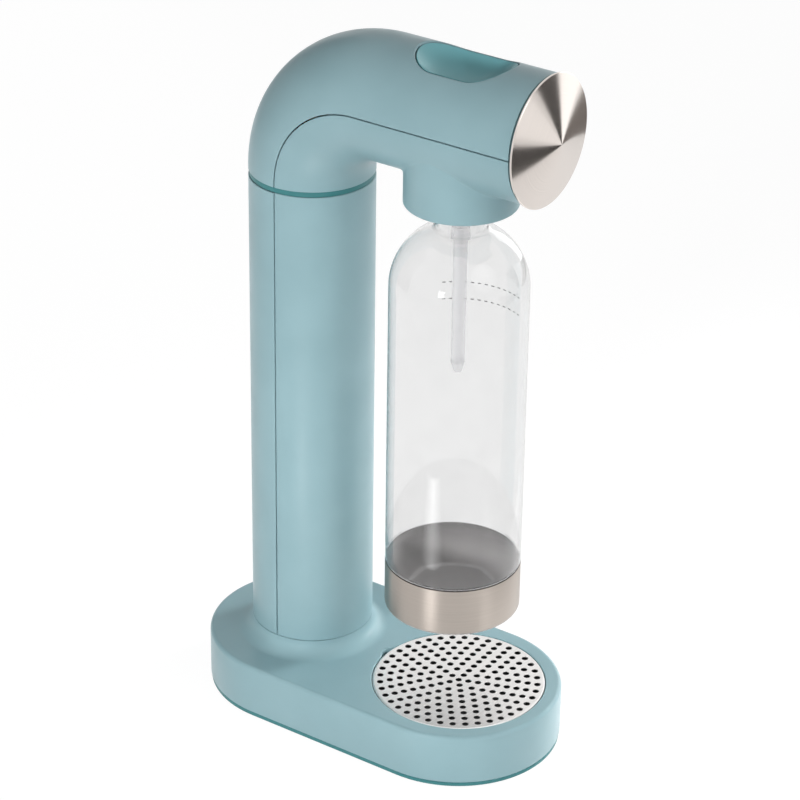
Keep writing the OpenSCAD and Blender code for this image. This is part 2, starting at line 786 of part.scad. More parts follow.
// Brass block that the gas valve screws into, with the gas chamber, the plunger's bore and the pivot ears
module valve_block() {
    color(brass) translate([0, col_y, 0]) difference() {
        union() {
            translate([0, 0, block_z]) cylinder(r = block_flange_r, h = block_flange_t);
            translate([0, 0, block_z]) cylinder(r = block_r, h = block_top - block_z);
            for (x = [-ear_x - ear_t, ear_x]) translate([x, 0, pivot_z]) {
                translate([0, 0, -eye_r]) cube([ear_t, lever_back, 2 * eye_r]);
                translate([0, lever_back, 0]) rotate([0, 90, 0]) cylinder(r = eye_r, h = ear_t);
            }
        }
        difference() {
            translate([0, 0, block_z - cut]) cylinder(r = block_in, h = chamber_z - block_z + cut);
            translate([0, 0, valve_thread_z + pitch / 2])
                thread_ridge(block_in + thread_root, valve_r - thread_depth + thread_gap);
        }
        translate([0, 0, chamber_z - cut]) cylinder(r = chamber_r, h = chamber_h + cut);
        translate([0, 0, chamber_z]) cylinder(r = plunger_r + pin_fit, h = block_top);
        translate([0, 0, gas_z]) rotate([90, 0, 0]) cylinder(r = tube_r - tube_wall, h = block_r + cut);
        translate([-ear_x - ear_t - cut, lever_back, pivot_z]) rotate([0, 90, 0])
            cylinder(r = pivot_r + pin_fit / 2, h = 2 * (ear_x + ear_t + cut));
        translate([-ear_x, lever_back - 2 * eye_r - fit, pivot_z - eye_r - fit])
            cube([2 * ear_x, lever_back, 4 * eye_r]);
        for (p = block_screws_at) translate([p[0], p[1], block_z - cut])
            cylinder(r = screw_r + pin_fit, h = block_flange_t + 2 * cut);
    }
}

// Plunger that hands the lever's push down to the valve's pin
module plunger() {
    color(steel) translate([0, col_y, 0]) {
        translate([0, 0, chamber_z + cut]) cylinder(r = plunger_r, h = plunger_top - chamber_z - cut);
        translate([0, 0, pin_top + fit]) cylinder(r = 0.8 * pin_r, h = chamber_z + 2 * cut - pin_top);
        translate([0, 0, plunger_top - plunger_head_t]) cylinder(r = plunger_head_r, h = plunger_head_t);
    }
}

// Ring seal around the plunger, at the top of the gas chamber
module plunger_seal() {
    ring_r = 0.85;
    color(black) translate([0, col_y, chamber_z + chamber_h - ring_r]) rotate_extrude()
        translate([plunger_r + ring_r + 2 * pin_fit, 0]) circle(ring_r);
}

// Spring that lifts the plunger
module plunger_spring() {
    color(zinc) translate([0, col_y, block_top + rest_gap])
        coil_spring(plunger_r + 1.3, 0.8, plunger_room - 2 * rest_gap, 4);
}

// Long lever from its pivot behind the plunger to the button's stem
module lever() {
    tip_y = btn_y - lever_w / 2;
    nose = plunger_head_r + cut;
    nose_rise = 0.5;                      // so that only the lever's nose meets the plunger as it rocks
    color(zinc) translate([-lever_w / 2, 0, 0]) difference() {
        rotate([90, 0, 90]) linear_extrude(lever_w) {
            translate([pivot_y, pivot_z]) circle(eye_r);
            polygon([
                [pivot_y - eye_r, pivot_z], [pivot_y + eye_r, pivot_z], [col_y + 4, lever_under + lever_h],
                [tip_y, lever_front_z], [tip_y, lever_front_z - lever_h],
                [col_y - nose, lever_under + nose_rise], [col_y, lever_under], [col_y + nose, lever_under],
                [pivot_y - eye_r, pivot_z + eye_r]
            ]);
        }
        translate([-cut, pivot_y, pivot_z]) rotate([0, 90, 0])
            cylinder(r = pivot_r + pin_fit, h = lever_w + 2 * cut);
    }
}

// Pin that the lever turns on
module lever_pin() {
    half = ear_x + ear_t + pin_fit;
    color(steel) translate([-half, pivot_y, pivot_z]) rotate([0, 90, 0])
        cylinder(r = pivot_r, h = 2 * half);
}

// Two push-in fittings, one on the valve block and one on the nozzle block
module gas_fittings() {
    starts = [[col_y - block_r, 1], [bottle_y + nozzle_block_r, -1]];
    color(pale) for (s = starts) translate([0, s[0], gas_z]) rotate([s[1] * 90, 0, 0]) difference() {
        cylinder(r = tube_r + fitting_wall, h = fitting_len);
        translate([0, 0, fitting_step]) cylinder(r = tube_r + pin_fit, h = fitting_len);
        translate([0, 0, -cut]) cylinder(r = tube_r - tube_wall, h = fitting_len);
    }
}

// Gas tube from the valve block to the nozzle block
module gas_tube() {
    from = col_y - block_r - fitting_step;
    to = bottle_y + nozzle_block_r + fitting_step;
    color(pale) translate([0, from, gas_z]) rotate([90, 0, 0]) difference() {
        cylinder(r = tube_r, h = from - to);
        translate([0, 0, -cut]) cylinder(r = tube_r - tube_wall, h = from - to + 2 * cut);
    }
}

// Head

// Lower and front half of the head, with the boss, the screw posts and the lugs on the bracket
module head_lower_shell() {
    color(teal) difference() {
        union() {
            difference() {
                union() {
                    along_head() half_ring(-1, col_r, 0);
                    translate([0, bottle_y, boss_z]) cylinder(r = boss_r, h = boss_drop - seam / 2);
                }
                along_head(cut) circle(col_in);
                translate([0, bottle_y, boss_z + boss_floor]) cylinder(r = boss_r - shell_t, h = boss_drop);
            }
            intersection() {
                for (p = head_posts) translate([p[0], p[1], bend_z])
                    cylinder(r = post_r, h = bend_r - seam / 2);
                along_head() circle(col_r - shell_t / 2);
            }
            intersection() {
                for (s = [-1, 1]) translate([s * lug_x - lug_w / 2, col_y + lug_y - lug_len, block_z])
                    cube([lug_w, lug_len + lug_tip, lug_t]);
                along_head() circle(col_r - shell_t / 2);
            }
        }
        translate([0, bottle_y, boss_z - cut]) cylinder(r = socket_out + fit, h = boss_floor + 2 * cut);
        for (a = [45:90:315]) translate([0, bottle_y, boss_z + screw_head_h]) rotate([0, 0, a])
            translate([socket_screw_ring, 0, 0]) screw_hole(boss_floor, cut);
        for (p = head_posts) translate([p[0], p[1], head_screw_z]) screw_hole(boss_drop, bend_r);
        for (s = [-1, 1]) translate([s * lug_x, col_y + lug_y, block_z - cut])
            cylinder(r = screw_r + pin_fit, h = lug_t + 2 * cut);
    }
}

// Upper and back half of the head, with the button's opening and the posts for the screws
module head_upper_shell() {
    color(teal) difference() {
        union() {
            difference() {
                along_head() half_ring(1, col_r, 0);
                along_head(cut) circle(col_in);
            }
            intersection() {
                for (p = head_posts) translate([p[0], p[1], arm_z + seam / 2])
                    cylinder(r = post_r, h = col_r);
                along_head() circle(col_r - shell_t / 2);
            }
            intersection() {
                for (s = [-1, 1]) translate([s * guide_lug_x, btn_y, guide_z + guide_lug_t])
                    cylinder(r = post_r - 1, h = col_r);
                arm_rod(col_r - shell_t / 2);
            }
        }
        translate([0, btn_y, arm_z]) linear_extrude(2 * col_r) stadium(btn_len, btn_w);
        for (p = head_posts) translate([p[0], p[1], arm_z]) cylinder(r = screw_r + pin_fit, h = long_screw);
        for (s = [-1, 1]) translate([s * guide_lug_x, btn_y, guide_z])
            cylinder(r = screw_r + pin_fit, h = short_screw + rest_gap);
    }
}

// Screws that hold the head's halves together, from below
module head_screws() {
    length = arm_z - head_screw_z + long_screw - 4 * cut;
    color(zinc) for (p = head_posts) translate([p[0], p[1], head_screw_z]) screw(length);
}

// Guide under the opening: a tube for the button, two shelves for its springs and two screw lugs
module button_guide() {
    shelf_in = ear_x + ear_t;
    lug_half = 4;
    color(pale) difference() {
        union() {
            intersection() {
                translate([0, btn_y, guide_z]) linear_extrude(col_r) difference() {
                    stadium(btn_len + 2 * guide_wall, btn_w + 2 * guide_wall);
                    stadium(btn_len, btn_w);
                }
                arm_rod(col_in - fit);
            }
            for (s = [-1, 1]) translate([0, btn_y, 0]) {
                translate([s > 0 ? btn_w / 2 : -guide_out, -lug_half * 2, shelf_z - shelf_t])
                    cube([guide_wall, 4 * lug_half, guide_z - shelf_z + shelf_t + 1]);
                translate([s > 0 ? shelf_in : -guide_out, -lug_half * 2, shelf_z - shelf_t])
                    cube([guide_out - shelf_in, 4 * lug_half, shelf_t]);
                translate([s > 0 ? btn_w / 2 + 1 : -guide_lug_x - lug_half, -lug_half, guide_z])
                    cube([guide_lug_x + lug_half - btn_w / 2 - 1, 2 * lug_half, guide_lug_t]);
            }
        }
        for (s = [-1, 1]) translate([s * guide_lug_x, btn_y, guide_z]) screw_hole(guide_lug_t + cut, 0);
    }
}

// Screws that hold the guide under the upper shell
module guide_screws() {
    color(zinc) for (s = [-1, 1]) translate([s * guide_lug_x, btn_y, guide_z]) screw(short_screw);
}

// Press button: a plug in the opening, level with the arm at its rim, with a finger dish on top
module button() {
    crest_drop = col_r - sqrt(col_r * col_r - btn_w * btn_w / 4);
    side_depth = dish_depth - crest_drop;
    sweep_r = (btn_len * btn_len / 4 + dish_depth * dish_depth) / (2 * dish_depth);
    round_r = (btn_w * btn_w / 4 + side_depth * side_depth) / (2 * side_depth);
    color(teal) difference() {
        union() {
            intersection() {
                translate([0, btn_y, btn_bottom]) linear_extrude(col_r)
                    stadium(btn_len - 2 * seam, btn_w - 2 * seam);
                arm_rod(col_r - rest_gap);
            }
            translate([0, btn_y, stem_z]) cylinder(r = stem_r, h = btn_bottom + btn_pocket + cut - stem_z);
        }
        translate([0, btn_y, dish_z + sweep_r]) rotate([0, 90, 0]) rotate_extrude() intersection() {
            translate([sweep_r - round_r, 0]) circle(round_r);
            translate([0, -round_r]) square([2 * sweep_r, 2 * round_r]);
        }
        difference() {
            translate([0, btn_y, btn_bottom - cut]) linear_extrude(btn_pocket + cut)
                stadium(btn_len - 2 * (seam + guide_wall), btn_w - 2 * (seam + guide_wall));
            translate([0, btn_y, stem_z]) cylinder(r = stem_r, h = 2 * dish_depth);
            for (s = [-1, 1]) translate([s * spring_x, btn_y, btn_bottom])
                cylinder(r = post_r + cut, h = 2 * dish_depth);
        }
    }
}

// Two springs that lift the button
module button_springs() {
    color(zinc) for (s = [-1, 1]) translate([s * spring_x, btn_y, shelf_z + rest_gap])
        coil_spring(post_r - rest_gap, 1, btn_bottom - shelf_z - 2 * rest_gap, 6);
}

// Plastic plug in the arm's open end that carries the disc
module disc_carrier() {
    rim_r = col_r - 1;
    color(dark_teal) translate([0, arm_end, arm_z]) rotate([90, 0, 0]) {
        cylinder(r = rim_r, h = disc_gap);
        translate([0, 0, disc_gap]) cylinder(r1 = rim_r, r2 = 0, h = disc_cone * rim_r / disc_r);
        translate([0, 0, -spigot_len]) difference() {
            cylinder(r = col_in - rest_gap, h = spigot_len);
            translate([0, 0, -cut]) cylinder(r = col_in - shell_t, h = spigot_len + cut);
        }
    }
}

// Shallow cone of brushed steel on the end of the arm
module front_disc() {
    color(steel) translate([0, arm_end - disc_gap, arm_z]) rotate([90, 0, 0]) rotate_extrude() difference() {
        polygon([[0, 0], [disc_r, 0], [disc_r, disc_t], [0, disc_t + disc_cone]]);
        polygon([[0, -cut], [disc_r - 1, -cut], [disc_r - 1, disc_cone / disc_r], [0, disc_cone]]);
    }
}

// Bottle socket, seal and nozzle

// Threaded bell that the bottle's neck screws into, with a flange on the boss's floor
module bottle_socket() {
    color(pale) translate([0, bottle_y, 0]) difference() {
        union() {
            translate([0, 0, boss_z + fit]) cylinder(r = socket_out, h = socket_top - boss_z - fit);
            translate([0, 0, socket_flange_z]) cylinder(r = socket_flange_r, h = socket_flange_t);
        }
        difference() {
            translate([0, 0, boss_z - cut]) cylinder(r = socket_in, h = socket_roof_z - boss_z + cut);
            translate([0, 0, neck_thread_z + pitch / 2])
                thread_ridge(socket_in + thread_root, neck_r + thread_gap);
        }
        translate([0, 0, socket_roof_z - cut]) cylinder(r = nozzle_r + fit, h = socket_roof_t + 2 * cut);
        for (a = [45:90:315]) rotate([0, 0, a]) translate([socket_screw_ring, 0, boss_z])
            cylinder(r = screw_r + pin_fit, h = screw_head_h + short_screw + rest_gap);
    }
}

// Screws that hold the socket's flange, from below the boss
module socket_screws() {
    color(zinc) for (a = [45:90:315]) translate([0, bottle_y, boss_z + screw_head_h]) rotate([0, 0, a])
        translate([socket_screw_ring, 0, 0]) screw(short_screw - screw_head_h);
}

// Rubber ring that the neck's rim turns against
module neck_seal() {
    color(black) translate([0, bottle_y, seal_z]) difference() {
        cylinder(r = socket_in - fit, h = seal_t);
        translate([0, 0, -cut]) cylinder(r = mouth_r - 2, h = seal_t + 2 * cut);
    }
}

// Block on the socket's roof that takes the gas in and sends it down the nozzle
module nozzle_block() {
    color(brass) translate([0, bottle_y, 0]) difference() {
        translate([0, 0, socket_top]) cylinder(r = nozzle_block_r, h = nozzle_top - socket_top);
        translate([0, 0, socket_top - cut]) cylinder(r = nozzle_r + pin_fit, h = nozzle_seat + cut);
        translate([0, 0, socket_top]) cylinder(r = nozzle_bore, h = gas_z - socket_top);
        translate([0, 0, gas_z]) rotate([-90, 0, 0])
            cylinder(r = tube_r - tube_wall, h = nozzle_block_r + cut);
        translate([0, 0, gas_z]) rotate([90, 0, 0]) cylinder(r = relief_bore, h = nozzle_block_r + cut);
    }
}

// Tube that carries the gas down into the water, with a collar just under the bottle's neck
module nozzle_tube() {
    length = socket_top + nozzle_seat - nozzle_end;
    color(pale) translate([0, bottle_y, nozzle_end]) difference() {
        union() {
            cylinder(r = nozzle_r, h = length);
            translate([0, 0, neck_top - collar_drop - nozzle_end]) cylinder(r = collar_r, h = collar_h);
        }
        translate([0, 0, -cut]) cylinder(r = nozzle_bore, h = length + 2 * cut);
    }
}

// Tapered tip of the nozzle, with a fine outlet
module nozzle_tip() {
    color(pale) translate([0, bottle_y, nozzle_end - tip_len]) difference() {
        cylinder(r1 = nozzle_r * 0.6, r2 = nozzle_r, h = tip_len);
        translate([0, 0, -cut]) cylinder(r = nozzle_bore * 0.4, h = tip_len + 2 * cut);
    }
}

// Places a piece of the relief valve: its axis runs from the nozzle block towards the front
module on_relief(along) {
    translate([0, bottle_y - nozzle_block_r - along, gas_z]) rotate([90, 0, 0]) children();
}

// Barrel of the overpressure valve
module relief_body() {
    color(brass) on_relief(0) difference() {
        cylinder(r = relief_r, h = relief_len);
        translate([0, 0, -cut]) cylinder(r = relief_bore, h = relief_len + 2 * cut);
        translate([0, 0, relief_end]) cylinder(r = relief_in, h = relief_len - 2 * relief_end);
    }
}

// Poppet that lifts off its seat when the pressure is too high
module relief_poppet() {
    color(black) on_relief(relief_end + fit) cylinder(r = relief_in - pin_fit, h = poppet_h);
}

// Spring behind the poppet
module relief_spring() {
    start = relief_end + fit + poppet_h + fit;
    color(zinc) on_relief(start) coil_spring(relief_in - 1, 0.6, relief_len - relief_end - start - fit, 4);
}

// Bottle

// Outside of the bottle, or its hollow when shrunk by a wall
module vessel_outline(wall) {
    lower = vessel_z + wall;
    upper = cup_top + seam + wall;
    low_r = vessel_low_r - wall;
    translate([0, lower]) square([low_r - cup_edge, upper - lower]);
    translate([0, lower + cup_edge]) square([low_r, upper + cut - lower - cup_edge]);
    translate([low_r - cup_edge, lower + cup_edge]) circle(cup_edge);
    translate([0, upper]) square([bottle_r - wall, shoulder_z - upper]);
    intersection() {
        translate([0, shoulder_z]) half_disc(bottle_r - wall);
        translate([0, shoulder_z - cut]) square(bottle_r + cut);
    }
}

// Clear bottle: straight body, round shoulder and a threaded neck
module bottle_vessel() {
    color(clear) translate([0, bottle_y, 0]) {
        rotate_extrude() difference() {
            union() {
                vessel_outline(0);
                translate([0, shoulder_z]) square([neck_r, neck_top - shoulder_z]);
            }
            vessel_outline(bottle_wall);
            translate([0, shoulder_z]) square([mouth_r, neck_top - shoulder_z + cut]);
        }
        translate([0, 0, neck_thread_z]) thread_ridge(neck_r - thread_root, neck_r + thread_depth);
    }
}

// Section of the steel cup, or its hollow when shrunk by the wall
module cup_outline(wall) {
    edge = cup_edge - wall;
    r = bottle_r - wall;
    translate([0, cup_z + wall]) square([r - edge, cup_h]);
    translate([0, cup_z + wall + edge]) square([r, cup_h - wall - edge + (wall > 0 ? cut : 0)]);
    translate([r - edge, cup_z + wall + edge]) circle(edge);
}

// Steel cup around the bottle's lower end
module bottle_cup() {
    color(steel) translate([0, bottle_y, 0]) rotate_extrude() difference() {
        intersection() {
            cup_outline(0);
            translate([0, cup_z]) square([bottle_r, cup_h]);
        }
        cup_outline(cup_wall);
    }
}

base_shell();
base_plate();
rubber_feet();
base_screws();
drip_pan();
drip_grid();
spine();
spine_screws();
column_front_shell();
column_back_cover();
column_band();
cylinder_pad();
co2_cylinder();
cylinder_valve();
cylinder_pin();
pin_spring();
cylinder_seal();
valve_bracket();
bracket_screws();
valve_block();
plunger();
plunger_seal();
plunger_spring();
lever();
lever_pin();
gas_fittings();
gas_tube();
head_lower_shell();
head_upper_shell();
head_screws();
button_guide();
guide_screws();
button();
button_springs();
disc_carrier();
front_disc();
bottle_socket();
socket_screws();
neck_seal();
nozzle_block();
nozzle_tube();
nozzle_tip();
relief_body();
relief_poppet();
relief_spring();
bottle_vessel();
bottle_cup();
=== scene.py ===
import math

import bmesh
import bpy
import numpy as np
from mathutils import Matrix, Vector
from mathutils.geometry import delaunay_2d_cdt


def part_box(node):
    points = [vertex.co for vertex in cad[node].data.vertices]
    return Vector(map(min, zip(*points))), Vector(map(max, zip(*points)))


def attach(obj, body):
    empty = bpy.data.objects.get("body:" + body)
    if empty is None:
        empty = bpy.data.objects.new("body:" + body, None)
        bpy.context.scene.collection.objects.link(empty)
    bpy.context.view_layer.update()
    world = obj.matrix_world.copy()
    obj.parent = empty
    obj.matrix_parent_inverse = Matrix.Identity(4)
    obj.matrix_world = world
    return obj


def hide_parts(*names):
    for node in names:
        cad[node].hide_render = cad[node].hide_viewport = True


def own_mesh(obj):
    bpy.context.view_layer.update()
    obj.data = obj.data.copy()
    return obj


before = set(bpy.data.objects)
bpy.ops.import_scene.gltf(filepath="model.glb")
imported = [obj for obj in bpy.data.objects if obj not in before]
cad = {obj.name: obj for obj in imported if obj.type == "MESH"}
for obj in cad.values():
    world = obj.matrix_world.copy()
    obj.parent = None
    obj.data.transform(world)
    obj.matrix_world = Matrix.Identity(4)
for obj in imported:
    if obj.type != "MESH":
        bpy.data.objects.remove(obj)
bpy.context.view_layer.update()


# Rubber feet: four round pads of black rubber that hold the machine off the table.
# Each is moulded with a soft lower edge and pressed into a pocket under the bottom plate.
def arc(u, v, radius, start, end, steps):
    """Points (u + radius cos a, v + radius sin a) for angles a in equal steps, given in degrees."""
    a = np.radians(np.linspace(start, end, steps + 1))
    return np.stack([u + radius * np.cos(a), v + radius * np.sin(a)], 1)


def turned(outline, x, y, steps=144):
    """Surface of revolution: each outline point (r, z) goes round the upright line through (x, y)."""
    a = np.linspace(0, 2 * np.pi, steps, endpoint=False)[:, None]
    r, z = np.asarray(outline).T
    return np.stack([x + r * np.cos(a), y + r * np.sin(a), np.broadcast_to(z, (steps, len(z)))], 2)


def quads(points, round_u=False, round_v=False):
    """A grid of points with its four-sided faces; a round direction joins its last line to its first."""
    n, m = points.shape[:2]
    i = np.arange(n * m).reshape(n, m)
    i = np.vstack([i, i[:1]]) if round_u else i
    i = np.hstack([i, i[:, :1]]) if round_v else i
    faces = np.stack([i[:-1, :-1], i[1:, :-1], i[1:, 1:], i[:-1, 1:]], 2).reshape(-1, 4)
    return points.reshape(-1, 3), faces.tolist()


def welded(mesh, sharp):
    """Welds doubled points, turns faces outwards and shades them smooth up to an angle in degrees."""
    work = bmesh.new()
    work.from_mesh(mesh)
    bmesh.ops.remove_doubles(work, verts=work.verts, dist=2e-6)
    bmesh.ops.recalc_face_normals(work, faces=work.faces)
    work.to_mesh(mesh)
    work.free()
    mesh.shade_smooth()
    mesh.set_sharp_from_angle(angle=math.radians(sharp))


def piece(name, patches, sharp=35):
    """One closed mesh from patches of points and faces, welded where they meet, its faces outwards."""
    starts = np.cumsum([0] + [len(p) for p, f in patches])
    faces = [[i + s for i in face] for s, (p, f) in zip(starts, patches) for face in f]
    mesh = bpy.data.meshes.new(name)
    mesh.from_pydata(np.concatenate([p for p, f in patches]).tolist(), [], faces)
    welded(mesh, sharp)
    made = bpy.data.objects.new(name, mesh)
    bpy.context.scene.collection.objects.link(made)
    return made


def fix(made, body, slot, finish, *solids):
    """Gives a piece its finish and fixes it to a body, in place of the solids it stands for; the slot is
    not used.
    """
    made.data.materials.clear()
    made.data.materials.append(finish)
    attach(made, body)
    if solids:
        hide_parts(*solids)


def tone(red, green, blue):
    """A colour given in 0 to 255 as it shows on a screen, as linear light."""
    c = np.array([red, green, blue]) / 255
    c = np.where(c <= 0.04045, c / 12.92, ((c + 0.055) / 1.055) ** 2.4)
    return (*c.tolist(), 1.0)


def shading(name):
    """A new node material: its tree, its principled shader and the object's own coordinates."""
    made = bpy.data.materials.new(name)
    made.use_nodes = True
    tree = made.node_tree
    where = tree.nodes.new("ShaderNodeTexCoord").outputs["Object"]
    return made, tree, tree.nodes["Principled BSDF"], where


def noise(tree, where, scale, detail=2.0):
    """A noise pattern in the given coordinates, as its strength from 0 to 1."""
    made = tree.nodes.new("ShaderNodeTexNoise")
    made.inputs["Scale"].default_value = scale
    made.inputs["Detail"].default_value = detail
    tree.links.new(where, made.inputs["Vector"])
    return made.outputs["Fac"]


def spread(tree, pattern, low, high, start=0.3, end=0.7):
    """A pattern's part from start to end spread between two colours."""
    made = tree.nodes.new("ShaderNodeValToRGB")
    first, last = made.color_ramp.elements
    first.position, first.color = start, low
    last.position, last.color = end, high
    tree.links.new(pattern, made.inputs["Fac"])
    return made.outputs["Color"]


def grey(value):
    """The same linear value in all three colours."""
    return (value, value, value, 1.0)


def relief(tree, shader, pattern, depth):
    """Lets a pattern raise and sink the surface by a depth in metres."""
    made = tree.nodes.new("ShaderNodeBump")
    made.inputs["Distance"].default_value = depth
    tree.links.new(pattern, made.inputs["Height"])
    tree.links.new(made.outputs["Normal"], shader.inputs["Normal"])


def moulded(name, dark, light, gloss, grain, depth, shine=0.5):
    """A moulded finish: clouds between two close tones, a wandering roughness and a fine stipple."""
    made, tree, shader, where = shading(name)
    tree.links.new(spread(tree, noise(tree, where, 26), dark, light), shader.inputs["Base Color"])
    wander = spread(tree, noise(tree, where, 90, 4), grey(gloss - 0.04), grey(gloss + 0.04))
    tree.links.new(wander, shader.inputs["Roughness"])
    shader.inputs["Specular IOR Level"].default_value = shine
    relief(tree, shader, noise(tree, where, grain), depth)
    return made


rubber = moulded("black rubber", tone(24, 24, 25), tone(32, 32, 33), 0.7, 2500, 0.00003)
foot_r, foot_h, foot_edge = 0.009, 0.0014, 0.0004
foot_line = np.vstack([[(0, 0)], arc(foot_r - foot_edge, foot_edge, foot_edge, -90, 0, 4),
                       [(foot_r, foot_h), (0, foot_h)]])
foot_ring, foot_apart, foot_turn = 0.046, 0.0525, np.radians((225, 315, 12, 168))
foot_spots = foot_ring * np.stack([np.cos(foot_turn), np.sin(foot_turn)], 1)
foot_spots[:, 1] += foot_apart * np.array((-1, -1, 1, 1))
feet = piece("feet", [quads(turned(foot_line, x, y, 48), round_u=True) for x, y in foot_spots])
fix(feet, "housing", "black_rubber", rubber, "rubber_feet")


# Bottom plate: a dark teal moulding that closes the base from below, held by six zinc-plated screws.
# It shows as the thin dark strip at the foot of the base, set a little inside the base's wall.
def merged(node, body, slot, finish, sharp=30):
    """A copy of a CAD solid with its loose triangles merged, so that its round faces shade smoothly."""
    made = bpy.data.objects.new(node + "_part", cad[node].data.copy())
    bpy.context.scene.collection.objects.link(made)
    welded(made.data, sharp)
    fix(made, body, slot, finish, node)
    return made


def mapped(tree, where, scale, shift=(0, 0, 0)):
    """Coordinates times a scale for each axis, plus a shift."""
    made = tree.nodes.new("ShaderNodeMapping")
    made.inputs["Scale"].default_value = scale
    made.inputs["Location"].default_value = shift
    tree.links.new(where, made.inputs["Vector"])
    return made.outputs["Vector"]


def plated(name, dark, light, gloss, streaks):
    """Bare or plated metal: fine streaks between two tones, with a roughness that follows them."""
    made, tree, shader, where = shading(name)
    lines = noise(tree, mapped(tree, where, streaks), 40, 6)
    tree.links.new(spread(tree, lines, dark, light), shader.inputs["Base Color"])
    sheen = spread(tree, lines, grey(gloss - 0.05), grey(gloss + 0.05))
    tree.links.new(sheen, shader.inputs["Roughness"])
    shader.inputs["Metallic"].default_value = 1.0
    relief(tree, shader, lines, 0.00001)
    return made


dark_teal = moulded("dark teal plastic", tone(50, 116, 119), tone(56, 123, 126), 0.42, 3000, 0.000012)
zinc = plated("zinc plated steel", tone(176, 178, 180), tone(196, 198, 199), 0.3, (1, 1, 1))
merged("base_plate", "housing", "trim_teal", dark_teal)
merged("base_screws", "housing", "zinc_steel", zinc)


# Base: one long moulding of pale teal plastic with round ends and a soft upper edge, screwed to the
# bottom plate. It has a round well for the drip pan with a finger notch behind it, and a hollow skirt
# that grows into the column.
def stadium(half, arc_steps, side_steps):
    """Centres and outward directions round an outline with round ends and straight sides along y."""
    side = np.linspace(half, -half, side_steps + 1)[:-1]
    front = np.radians(np.linspace(0, -180, arc_steps + 1)[:-1])
    centre_y = np.concatenate([side, np.full(arc_steps, -half), -side, np.full(arc_steps, half)])
    turn = np.concatenate([np.zeros(side_steps), front, np.full(side_steps, -np.pi), front - np.pi])
    centres = np.stack([np.zeros(len(centre_y)), centre_y], 1)
    return centres, np.stack([np.cos(turn), np.sin(turn)], 1)


def at(plan, z):
    """Plan points lifted to a height."""
    return np.concatenate([plan, np.broadcast_to(np.reshape(z, (-1, 1)), (len(plan), 1))], 1)


def within(points, loop):
    """Which points lie inside a loop: a line to their right crosses it an odd number of times."""
    a, b = loop, np.roll(loop, -1, 0)
    x, y = points[:, :1], points[:, 1:]
    spans = (a[:, 1] > y) != (b[:, 1] > y)
    rise = np.where(b[:, 1] == a[:, 1], 1, b[:, 1] - a[:, 1])
    return (spans & (x < a[:, 0] + (y - a[:, 1]) * (b[:, 0] - a[:, 0]) / rise)).sum(1) % 2 == 1


def flat(outer, holes, z):
    """Level triangles between an outer loop and its holes: a Delaunay net held to the loops' sides."""
    loops = [outer, *holes]
    starts = np.cumsum([0] + [len(loop) for loop in loops])
    sides = [(start + i, start + (i + 1) % len(loop))
             for start, loop in zip(starts, loops) for i in range(len(loop))]
    corners = [Vector(p) for p in np.concatenate(loops)]
    points, _, faces, _, _, _ = delaunay_2d_cdt(corners, sides, [], 0, 1e-7)
    points = np.array(points)
    faces = np.array(faces)
    middle = points[faces].mean(1)
    keep = within(middle, outer)
    for hole in holes:
        keep &= ~within(middle, hole)
    return at(points, z), faces[keep].tolist()


def cap(points):
    """One flat face across a closed loop."""
    return points, [list(range(len(points)))]


teal = moulded("pale teal plastic", tone(138, 170, 177), tone(144, 176, 183), 0.32, 3000, 0.000008, 0.4)
base_top, base_low, base_half, base_round = 0.0345, 0.0034, 0.0525, 0.062
# A narrow level ring of width hold beside each rounding keeps the shading of flat faces even.
low_edge, top_edge, hold = 0.0004, 0.0025, 0.0007
base_middle, base_out = stadium(base_half, 120, 40)
side_line = np.vstack([arc(low_edge, base_low + low_edge, low_edge, -90, -180, 3),
                       arc(top_edge, base_top - top_edge, top_edge, 180, 90, 10),
                       [(top_edge + hold, base_top)]])
side = np.stack([at(base_middle + (base_round - inset) * base_out, z) for inset, z in side_line])

column_y, column_r, column_in, skirt, seat, seat_edge = 0.0525, 0.036, 0.0335, 0.0095, 0.044, 0.0003
skirt_line = np.vstack([[(column_r + skirt + hold, base_top)],
                        arc(column_r + skirt, seat, skirt, 270, 182, 20),
                        arc(column_r - 0.0004, seat - seat_edge, seat_edge, 0, 90, 3),
                        [(column_in, seat), (column_in, base_low)]])
skirting = turned(skirt_line, 0, column_y, 160)

well_y, well_r, well_low, well_edge = -0.0542, 0.0514, 0.0135, 0.0005
notch_y, notch_r, notch_low = -0.0082, 0.008, 0.0285


def well_rim(grow):
    """The well's and the notch's circles, both grown by an amount, up to where they cross."""
    big, small, apart = well_r + grow, notch_r + grow, notch_y - well_y
    along = (big ** 2 - small ** 2 + apart ** 2) / (2 * apart)
    across = math.sqrt(big ** 2 - along ** 2)
    cross = math.degrees(math.atan2(along, across))
    bite = math.degrees(math.atan2(well_y + along - notch_y, across))
    return (arc(0, well_y, big, cross, cross - 360 + 2 * (90 - cross), 150),
            arc(0, notch_y, small, 180 - bite, bite, 30),
            arc(0, well_y, big, 180 - cross, cross, 30))


